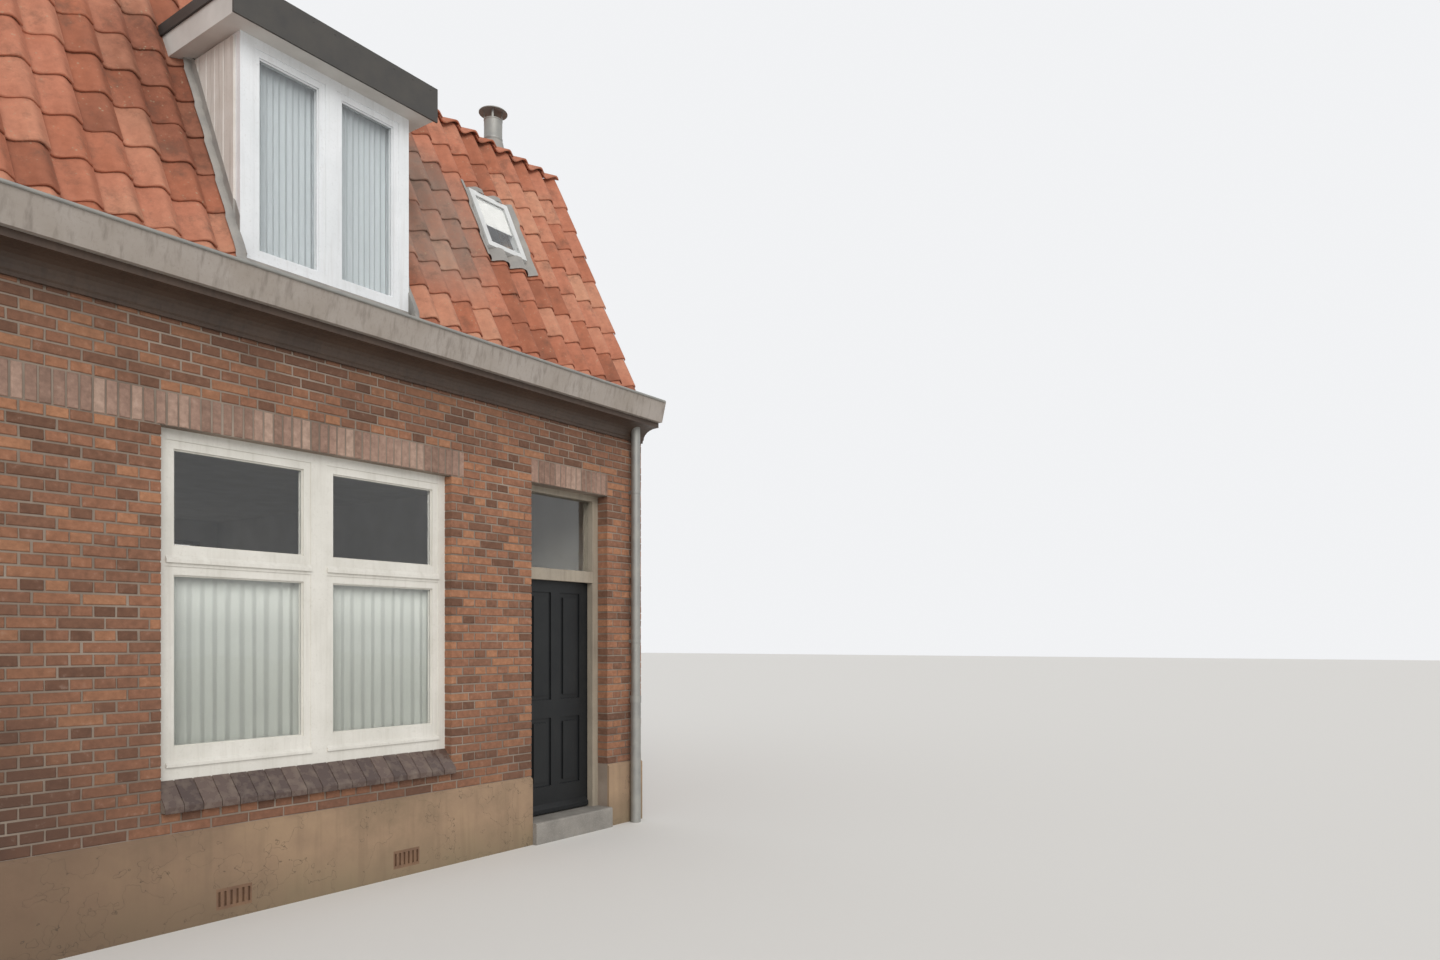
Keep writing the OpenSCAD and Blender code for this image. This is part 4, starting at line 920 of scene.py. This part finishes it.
def sillTiles():
    # glazed tiles with a nose, side by side under the window
    out, thick, soft, worn = [sills[key] for key in ("out", "thick", "soft", "worn")]
    width, half = sills["width"], (sills["width"] - sills["joint"]) / 2
    back, top = faceY + sills["back"], windowZ[0]
    nose, foot = span("window_sills", 1)[0], sillFoot
    noseTop = foot + sills["nose"]
    outline = [
        (back, top + out * 0.6), (back, top - thick), (nose + thick, noseTop + 0.004),
        (nose + thick, foot + 0.004), (nose - out + 0.003, foot - 0.004), (nose - out, foot),
        (nose - out, noseTop + 0.004), (nose - out + 0.004, noseTop + 0.012)]
    midY, midZ = [sum(point[k] for point in outline) / len(outline) for k in (0, 1)]
    rings = [[(x, y + (midY - y) * shrink, z + (midZ - z) * shrink) for y, z in outline]
             for x, shrink in ((-half, worn), (-half + soft, 0.0), (half - soft, 0.0), (half, worn))]
    return inRow(loft("sillTile", rings), (windowX[0] + width / 2, 0, 0), width,
                 round((windowX[1] - windowX[0]) / width), glazedTileMaterial(), sills["stray"])


addBoth("SillTiles", sillTiles())
print("sill tiles laid")


# lead and zinc

leads = {
    "over": 0.0095,        # over the tiles, none of which lies quite true
    "column": 0.013, "row": 0.025, "thick": 0.003, "dent": 0.0015,
    "apronPast": 0.06,     # apron past the dormer's sides
    "gap": 0.0035,         # upstands off the wood
    "stripWide": 0.055, "stripBelow": 0.03, "stripOver": 0.013, "upstand": 0.105,
    "rimWide": 0.07, "rimBelow": 0.13, "rimAbove": 0.05, "rimLap": 0.004,
}
cheeks = {
    "from": 0.15, "to": 0.74, "proud": 0.012, "below": 0.1,
    "bond": {"Bonded": 0.0, "Header": 0.098, "Course": 3.0, "Joint": 0.003, "Waver": 0.0006},
}


def fieldHeight(u, v, slope="frontLow"):
    # height of the tiles round a spot of the slope, so that lead over it bridges their steps
    rise = 0.0
    for near in (-0.017, -0.008, 0.0, 0.008, 0.017):
        local = (u + near - wallX[0]) % cover
        rise = max(rise, tileHeight(local), tileHeight(local + cover) if local < pantiles["lap"] else 0.0)
    gauge, start = slopes[slope]["gauge"], slopes[slope]["start"]
    tilt = max(1 - ((v + step - start) % gauge) / gauge for step in (-0.03, 0.0, 0.03))
    return pantiles["bed"] + rise + pantiles["lift"] * tilt


def leadSheet(grid, offset):
    # lead from rows of points, closed with a copy moved by offset
    rows, n = len(grid), len(grid[0])
    under = rows * n
    faces = []
    for a, b, c, d in gridFaces(rows, n):
        faces += [(a, b, c, d), (under + a, under + d, under + c, under + b)]
    rim = list(range(n)) + [r * n + n - 1 for r in range(1, rows)]
    rim += [(rows - 1) * n + i for i in range(n - 2, -1, -1)] + [r * n for r in range(rows - 2, 0, -1)]
    faces += [(a, b, under + b, under + a) for a, b in zip(rim, rim[1:] + rim[:1])]
    below = [[v + Vector(offset) for v in row] for row in grid]
    return smoothUnder(outward(meshFrom("lead", grid + below, faces, agedLead)), 50)


def dressedLead(u0, u1, v0, v1, slope="frontLow", over=leads["over"]):
    # lead beaten down over the tiles
    columns, rows = max(2, round((u1 - u0) / leads["column"])), max(2, round((v1 - v0) / leads["row"]))

    def beaten(c, r):
        u, v = u0 + (u1 - u0) * c / columns, v0 + (v1 - v0) * r / rows
        dent = leads["dent"] * noise.noise(Vector((u, v, 0.0)) * 25)
        return u, v, fieldHeight(u, v, slope) + over + dent
    return ontoSlope(leadSheet(gridOf(rows, columns, beaten), (0, 0, -leads["thick"])), slope)


def slopePoint(x, v, w):
    return Vector((x, faceY + v * math.cos(lowAngle) - w * math.sin(lowAngle),
                   eaveZ + v * math.sin(lowAngle) + w * math.cos(lowAngle)))


def dormerFlashing():
    # an apron under the front, and strips, folds and upstands at the sides
    (x0, x1), past, lap = dormerX, leads["apronPast"], leads["stripOver"]
    foot, top = slopeSpot(dormerZ[0]), slopeSpot(dormerZ[1])
    front, boards = span("dormer_frame", 1)[0], faceY + cheeks["from"]
    wide = x1 - x0 + 2 * past
    columns = round(wide / leads["column"])
    xs = [x0 - past + wide * c / columns for c in range(columns + 1)]
    grid = [[slopePoint(x, foot - back, fieldHeight(x, foot - back) + leads["over"]) for x in xs]
            for back in (0.125, 0.1, 0.075, 0.05, 0.025, 0.006)]
    grid += [[Vector((x, front - out, dormerZ[0] + up)) for x in xs]
             for out, up in ((0.012, 0.03), (0.003, 0.06))]
    parts = [leadSheet(grid, (0, 0.0025, -0.0015))]
    foldFrom = foot - leads["stripBelow"]
    for x, out in ((x0, -1), (x1, 1)):
        inward = (-out * leads["thick"], 0, 0)
        u0, u1 = sorted((x + out * leads["stripWide"], x - out * 0.0015))
        parts.append(dressedLead(u0, u1, foldFrom, top, over=lap))
        # down the cut tiles in front of the frame
        side = x - out * 0.0005
        stations = [foldFrom + 0.01 * i for i in range(30)]
        grid = [[slopePoint(side, v, -0.02) for v in stations],
                [slopePoint(side, v, fieldHeight(x, v) + lap - 0.001) for v in stations]]
        parts.append(cutBehind(leadSheet(grid, inward), [((0, front + 0.001, 0), (0, 1, 0))]))
        # up the frame's side, then up the boards
        start, end = boards + 0.002, faceY + top * math.cos(lowAngle)
        run = [(front, leads["gap"]), (boards - 0.002, leads["gap"])]
        run += [(start + (end - start) * i / 10, leads["gap"] + cheeks["proud"]) for i in range(11)]
        grid = [[], []]
        for y, gap in run:
            z = eaveZ + (y - faceY) * math.tan(lowAngle)
            above = min(z + leads["upstand"] / math.cos(lowAngle), dormerZ[1] - 0.002)
            for row, level in zip(grid, (z - 0.02 / math.cos(lowAngle), above)):
                row.append(Vector((x + out * gap, y, level)))
        parts.append(leadSheet(grid, inward))
    return joinMeshes("dormerLead", parts)


def rimFlashing():
    # lead on the four sides of the roof window
    (x0, x1), (v0, v1), lap = rimX, rimV, leads["rimLap"]
    left, right = x0 - leads["rimWide"], x1 + leads["rimWide"]
    return joinMeshes("roofWindowLead", [dressedLead(*room) for room in (
        (left, right, v0 - leads["rimBelow"], v0 + lap), (left, x0 + lap, v0, v1),
        (x1 - lap, right, v0, v1), (left, right, v1 - lap, v1 + leads["rimAbove"]))])


addPiece("dormerLead", dormerFlashing())
addPiece("roofWindowLead", rimFlashing())

gutters = {
    "board": 0.022, "back": 0.072, "lining": 0.0022, "bead": 0.008, "bend": 0.004,
    "lean": 0.045,         # front board's foot behind its top
}


def ribbon(path, thick):
    # outline of a thin sheet that follows a (y, z) path
    sides = []
    for i, (y, z) in enumerate(path):
        before, after = path[max(i - 1, 0)], path[min(i + 1, len(path) - 1)]
        run = Vector((after[0] - before[0], after[1] - before[1])).normalized()
        sides.append((y - run.y * thick, z + run.x * thick))
    return path + sides[::-1]


def gutterLining():
    # folded zinc in the wooden box, with a rolled bead over its front board
    low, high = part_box("front_gutter")
    t, bend, bead, lean = [gutters[key] for key in ("board", "bend", "bead", "lean")]
    foot, top, frontTop = low.z + t, high.z, low.y + t
    frontFoot = low.y + lean + t - lean / (high.z - low.z) * t
    path = [(faceY - t, low.z + gutters["back"]), (faceY - t, foot + bend), (faceY - t - bend, foot),
            (frontFoot + bend, foot), (frontFoot, foot + bend), (frontTop, top),
            (frontTop - 0.003, top + 0.002)]
    path += [(low.y - 0.002 - bead * math.sin(a), top + 0.0035 - bead + bead * math.cos(a))
             for a in [math.radians(d) for d in range(0, 331, 30)]]
    outline = ribbon(path[::-1], gutters["lining"])
    rings = [[(x, y, z) for y, z in outline] for x in (wallX[1] - t, 0.0, wallX[0] + t)]
    return smoothUnder(loft("lining", rings, agedZinc), 40)


addBoth("GutterLining", gutterLining())
print("lead and zinc dressed")


# ridge bedding, flue

bedding = {
    "outline": [(-0.060, -0.080), (-0.146, -0.082), (-0.139, -0.050), (-0.124, -0.019), (-0.100, -0.010),
                (-0.060, -0.010)],   # from the ridge line
    "count": 160, "short": 0.004, "bulge": 0.007,
}
flue = {  # profiles as (radius, height over the tiles)
    "pipe": [(0.085, 0.13), (0.0885, 0.135), (0.0885, 0.155), (0.085, 0.16), (0.085, 0.318),
             (0.0885, 0.322), (0.0885, 0.33), (0.079, 0.33)],
    "hat": [(0, 0.445), (0.04, 0.441), (0.128, 0.408), (0.1345, 0.401), (0.1345, 0.397), (0.128, 0.399),
            (0.04, 0.431), (0, 0.435)],
    "sleeve": [(0.0875, 0), (0.124, 0.01), (0.102, 0.075), (0.0925, 0.12), (0.0875, 0.125), (0.087, 0.02)],
    "straps": (0.0795, 0.0855, 0.009, 0.27, 0.416),   # inner and outer radius, half width, foot, top
    "slate": (0.21, 0.24, 0.2),                       # half width, and reach down and up the slope
}


def ridgeBedding():
    # lime mortar pressed under the ridge tiles, between the rolls
    mortar = stoneMaterial("ridgeMortar", "#9a9085", "#7d7368", "#a79d91", 0.95)
    outline, count, short = bedding["outline"], bedding["count"], bedding["short"]

    def pressed(k, i):
        x = wallX[0] + short + (wallX[1] - wallX[0] - 2 * short) * i / count
        bulge = bedding["bulge"] * noise.noise(Vector((x * 9, k * 3.1, 0.5))) if 0 < k < 4 else 0.0
        return x, outline[k][0] + bulge, ridgeZ + outline[k][1] + bulge * 0.4
    front = smoothUnder(loft("bedding", gridOf(count, len(outline) - 1, pressed), mortar), 50)
    return joinMeshes("ridgeBedding", [front, onBack(front)])


def flueMesh():
    # a seamed zinc pipe in a lead sleeve, with a hat on four straps
    slant = math.tan(highAngle)
    base = breakZ + (fluePlace.y - breakY) * slant
    pipe, hat, sleeve = [[(radius, base + z) for radius, z in flue[part]]
                         for part in ("pipe", "hat", "sleeve")]
    pipe = [(pipe[0][0], flueLow.z), *pipe, (pipe[-1][0], flueLow.z)]
    parts = [turned("flue", profile, 40, metal)
             for profile, metal in ((pipe, agedZinc), (hat, agedZinc), (sleeve, agedLead))]
    for vert in parts[2].vertices:  # the sleeve's foot follows the slope
        if vert.co.z < base + 0.03:
            vert.co.z += vert.co.y * slant
    inner, outer, half, low, high = flue["straps"]
    rings = [[(x, y, base + z) for x, y in ((inner, -half), (outer, -half), (outer, half), (inner, half))]
             for z in (low, high)]
    for quarter in range(4):
        parts.append(loft("strap", rings, agedZinc))
        parts[-1].transform(Matrix.Rotation(math.radians(45 + 90 * quarter), 4, "Z"))
    mesh = joinMeshes("flue", parts)
    mesh.transform(Matrix.Translation((fluePlace.x, fluePlace.y, 0)))
    half, down, up = flue["slate"]
    u0, u1 = fluePlace.x - half, min(fluePlace.x + half, wallX[1] - 0.02)
    return joinMeshes("flue", [mesh, dressedLead(u0, u1, flueV - down, flueV + up, "frontHigh")])


addPiece("ridgeBedding", ridgeBedding())
addPiece("flueAndHat", flueMesh(), ["flue_pipe"])
print("ridge bedded, flue set")


# dormer boards and nails

def cheekBoards(side):
    # upright boards on a cheek, laid facing the street, turned to the side and cut at the tiles
    x0, x1 = sorted(side * (faceY + cheeks[end]) for end in ("from", "to"))
    y, foot = -side * dormerX[side > 0], dormerZ[0] - cheeks["below"]
    mesh = layRun((x0, y - cheeks["proud"], foot), (x1, y + 0.01, dormerZ[1] - 0.013), cheekPaint, 8, foot,
                  cheeks["bond"])
    mesh.transform(Matrix.Rotation(side * math.pi / 2, 4, "Z"))
    out = Vector((0, -math.sin(lowAngle), math.cos(lowAngle)))
    return cutBehind(mesh, [(Vector((0, faceY, eaveZ)) + out * 0.005, -out)])


nails = {"inset": 0.06, "apart": 0.15, "under": 0.03, "stray": (0.004, 0, 0.002)}


def edgeNails():
    # flat nails along the metal edge of the dormer's deck
    nail = turned("nailHead", [(0, -0.002), (0.006, -0.002), (0.006, 0.001), (0.0035, 0.0028), (0, 0.003)], 8)
    nail.transform(Matrix.Rotation(math.pi / 2, 4, "X"))  # the head looks at the street
    low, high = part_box("dormer_roof_edge")
    count = round((high.x - low.x) / nails["apart"])
    return inRow(nail, (low.x + nails["inset"], low.y, high.z - nails["under"]),
                 (high.x - low.x - 2 * nails["inset"]) / (count - 1), count, edgeMetal, nails["stray"])


addPiece("dormerCheekBoards", joinMeshes("boards", [cheekBoards(-1), cheekBoards(1)]))
addPiece("deckEdgeNails", edgeNails())
print("dormer boarded")


# net curtains

nets = {
    "folds": 11, "rod": 0.0045, "rows": 22, "perFold": 14, "hem": 0.045,
    "deep": 0.006, "opening": 0.0035,   # depth of the folds at the rod, and what they gain at the hem
    "sway": 0.002,
    "ease": 0.004,         # beside the bay
    "thread": 0.004,       # drawn coarser than the real 1 mm, so that it shows
}


def netMaterial(name, tones):
    # cotton net: an open weave, with painted light and shade, lighter at the top and darker towards the hem,
    # and a paler, denser hem
    material, add, _ = newMaterial(name)
    along, upward, _ = add("SeparateXYZ", add("UVMap").outputs["UV"]).outputs
    weave = add("Math MULTIPLY", *[
        add("Math SINE", add("Math MULTIPLY", way, 2 * math.pi / nets["thread"])) for way in (along, upward)])
    # where its tones differ, the ramp up the net is painted light and shade: lighter at the top, darker
    # towards the hem
    thread = layered(add, add("ValToRGB", upward, stops=tones), (weave, -1.0, 1.0, 0.3, "#8b8d88"))
    hemmed = add("Mix RGBA", add("Math LESS_THAN", upward, nets["hem"]), thread, "#cac9c4")
    return dress(material, hemmed, 0.9, (weave, 0.3, 0.0005), {"Sheen Weight": 0.2})


# painted light and shade: the window net lighter at the top, darker towards the hem
windowNet = netMaterial("cottonNet", [(0.3, "#a1a39b"), (0.78, "#b5b7b0"), (1.0, "#d6d8d1")])
dormerNet = netMaterial("washedCottonNet", [(0.0, "#b9bfc3"), (1.0, "#b9bfc3")])
rodBrass = metalMaterial("thinBrassRod", "#9c8d62", "#847551", 1.0, 0.35)


def hangNet(name, x0, x1, foot, top, y, seed, cloth, mirrored):
    # a net gathered on a thin rod: folds that open towards the hem
    width, tall, rows, columns = x1 - x0, top - foot, nets["rows"], nets["folds"] * nets["perFold"]
    deep, opening, sway = [nets[key] for key in ("deep", "opening", "sway")]
    rng = random.Random(seed)
    phases = [rng.uniform(-0.5, 0.5) for _ in range(4)]

    def folded(c, r):
        t, drop = c / columns, r / rows
        swing = 2 * math.pi * nets["folds"] * t + sum(
            p * math.sin(2 * math.pi * (k + 1) * t + p * 4 + drop * p) for k, p in enumerate(phases))
        return (x0 + width * t + sway * math.sin(2 * swing), y + (deep + opening * drop) * math.sin(swing),
                top - tall * drop + sway * math.sin(swing * 0.5) * drop)
    grid, n = gridOf(rows, columns, folded), columns + 1
    mesh = meshFrom(name, grid, [(a, d, c, b) for a, b, c, d in gridFaces(rows + 1, n)], cloth)
    lengths = [0.0]
    for a, b in zip(grid[rows // 2], grid[rows // 2][1:]):
        lengths.append(lengths[-1] + (b - a).length)
    uv = mesh.uv_layers.new(name="UVMap")
    for loop in mesh.loops:
        r, c = divmod(loop.vertex_index, n)
        uv.data[loop.index].uv = (lengths[c], tall * (1 - r / rows))
    for face in mesh.polygons:
        face.use_smooth = True
    rod = rodAlong(name + "Rod", (x0 - 0.001, y, top - 0.006), width + 0.002, nets["rod"], rodBrass)
    if mirrored:
        mesh, rod = onBack(mesh), onBack(rod)
    piece = addPiece(name, mesh)
    addPiece(name + "Rod", rod)


def hangPairs(places, frameX, foot, top, behind, stile, post, seed, cloth):
    # a net in each of the two bays beside a frame's post, in every place that has this frame
    bay = (frameX[1] - frameX[0] - 2 * stile - post) / 2
    for i, side in enumerate(("Left", "Right")):
        left = frameX[0] + stile + i * (bay + post)
        for where in places:
            hangNet(where + side + "Net", left + nets["ease"], left + bay - nets["ease"], foot, top,
                    faceY + behind, seed + i, cloth, where == "back")


hangPairs(["front", "back"], windowX, windowZ[0] + 0.085, windowZ[0] + 1.185,
          behind=0.158, stile=0.06, post=0.11, seed=40, cloth=windowNet)
hangPairs(["dormer"], dormerX, dormerZ[0] + 0.085, dormerZ[1] - 0.07,
          behind=0.188, stile=0.08, post=0.08, seed=50, cloth=dormerNet)
print("nets hung")


# blind of the roof window

blinds = {"inset": 0.056, "hold": 0.005, "under": 0.030, "drawn": 0.27, "roller": 0.007, "bar": 0.0035}


def blindMaterial():
    # pale blackout cloth: a fine even weave, a little creased
    material, add, _, crease, weave = newMaterial("blindCloth", (12.0, 3.0), (900.0, 2.0))
    colour = add("ValToRGB", crease, stops=[(0.3, "#d3d1cd"), (0.7, "#dcdad6")])
    return dress(material, colour, 0.85, (add("Math MULTIPLY_ADD", crease, 4.0, weave), 0.3, 0.001))


def hangBlind():
    # cloth down from a roller to a bar, in the roof window's frame
    inset, hold, under, drawn = [blinds[key] for key in ("inset", "hold", "under", "drawn")]
    x0, x1, top = rimX[0] + inset, rimX[1] - inset, rimV[1] - inset - blinds["roller"]
    foot, columns, rows = top - drawn, 6, 10
    grid = gridOf(rows, columns, lambda c, r: (x0 + (x1 - x0) * c / columns, foot + drawn * r / rows, under))
    cloth = meshFrom("blind", grid, gridFaces(rows + 1, columns + 1), blindMaterial())
    bars = [rodAlong(name, (x0 - hold, v, under), x1 - x0 + 2 * hold, blinds[name], rimMetal)
            for name, v in (("roller", top), ("bar", foot))]
    addPiece("roofWindowRoller", ontoSlope(joinMeshes("blindBars", bars), "frontLow"))
    blind = addPiece("roofWindowBlind", ontoSlope(cloth, "frontLow"))


hangBlind()
print("blind drawn")


# floor, light and camera

def buildStage():
    # a pale floor, a soft sky and a broad key light
    reach = 90.0
    material = dress(newMaterial("paleFloor")[0], "#dfddd9", 0.9, None, {"Specular IOR Level": 0.1})
    corners = [(-reach, -reach, 0), (reach, -reach, 0), (reach, reach, 0), (-reach, reach, 0)]
    floor = bpy.data.objects.new("floor", meshFrom("floor", [corners], [(0, 1, 2, 3)], material))
    scene.collection.objects.link(floor)
    floor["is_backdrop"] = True

    # white to the eye, in gloss and through glass, and a little lower as light
    world = bpy.data.worlds.new("softSky")
    scene.world = world
    world.use_nodes = True
    world.node_tree.nodes.clear()
    add = partial(addNode, world.node_tree)
    path = add("LightPath").outputs
    seen = add("Math MAXIMUM", path["Is Camera Ray"], path["Is Glossy Ray"])
    level = add("MapRange", add("Math MAXIMUM", seen, path["Is Transmission Ray"]), 0.0, 1.0, 0.72, 0.95)
    add("OutputWorld", add("Background", "#f7f8fa", level))

    lamp = bpy.data.lights.new("keyLight", "SUN")
    lamp.energy = 1.6
    lamp.angle = math.radians(40)
    lamp.color = (1.0, 0.98, 0.95)
    key = bpy.data.objects.new("keyLight", lamp)
    key.rotation_euler = Vector((0.6, 0.9, -0.62)).to_track_quat("-Z", "Y").to_euler()
    scene.collection.objects.link(key)


def buildCamera():
    # eye height, bearing and lens as measured in the photograph, whose horizon lies 160 of 1440 low
    view = bpy.data.cameras.new("streetView")
    view.lens = 24
    view.sensor_width = 36
    view.shift_y = 160 / 1440
    camera = bpy.data.objects.new("streetView", view)
    camera.location = (-3.90, -8.97, 1.60)
    camera.rotation_euler = (math.radians(90), 0, math.radians(-55.5))
    scene.collection.objects.link(camera)
    scene.camera = camera
    scene.view_settings.view_transform = "Standard"


buildStage()
buildCamera()
bpy.context.view_layer.update()
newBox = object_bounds()
for label, box in (("CAD box", cadBox), ("visual box", newBox)):
    print(label, [[round(v, 3) for v in corner] for corner in box])
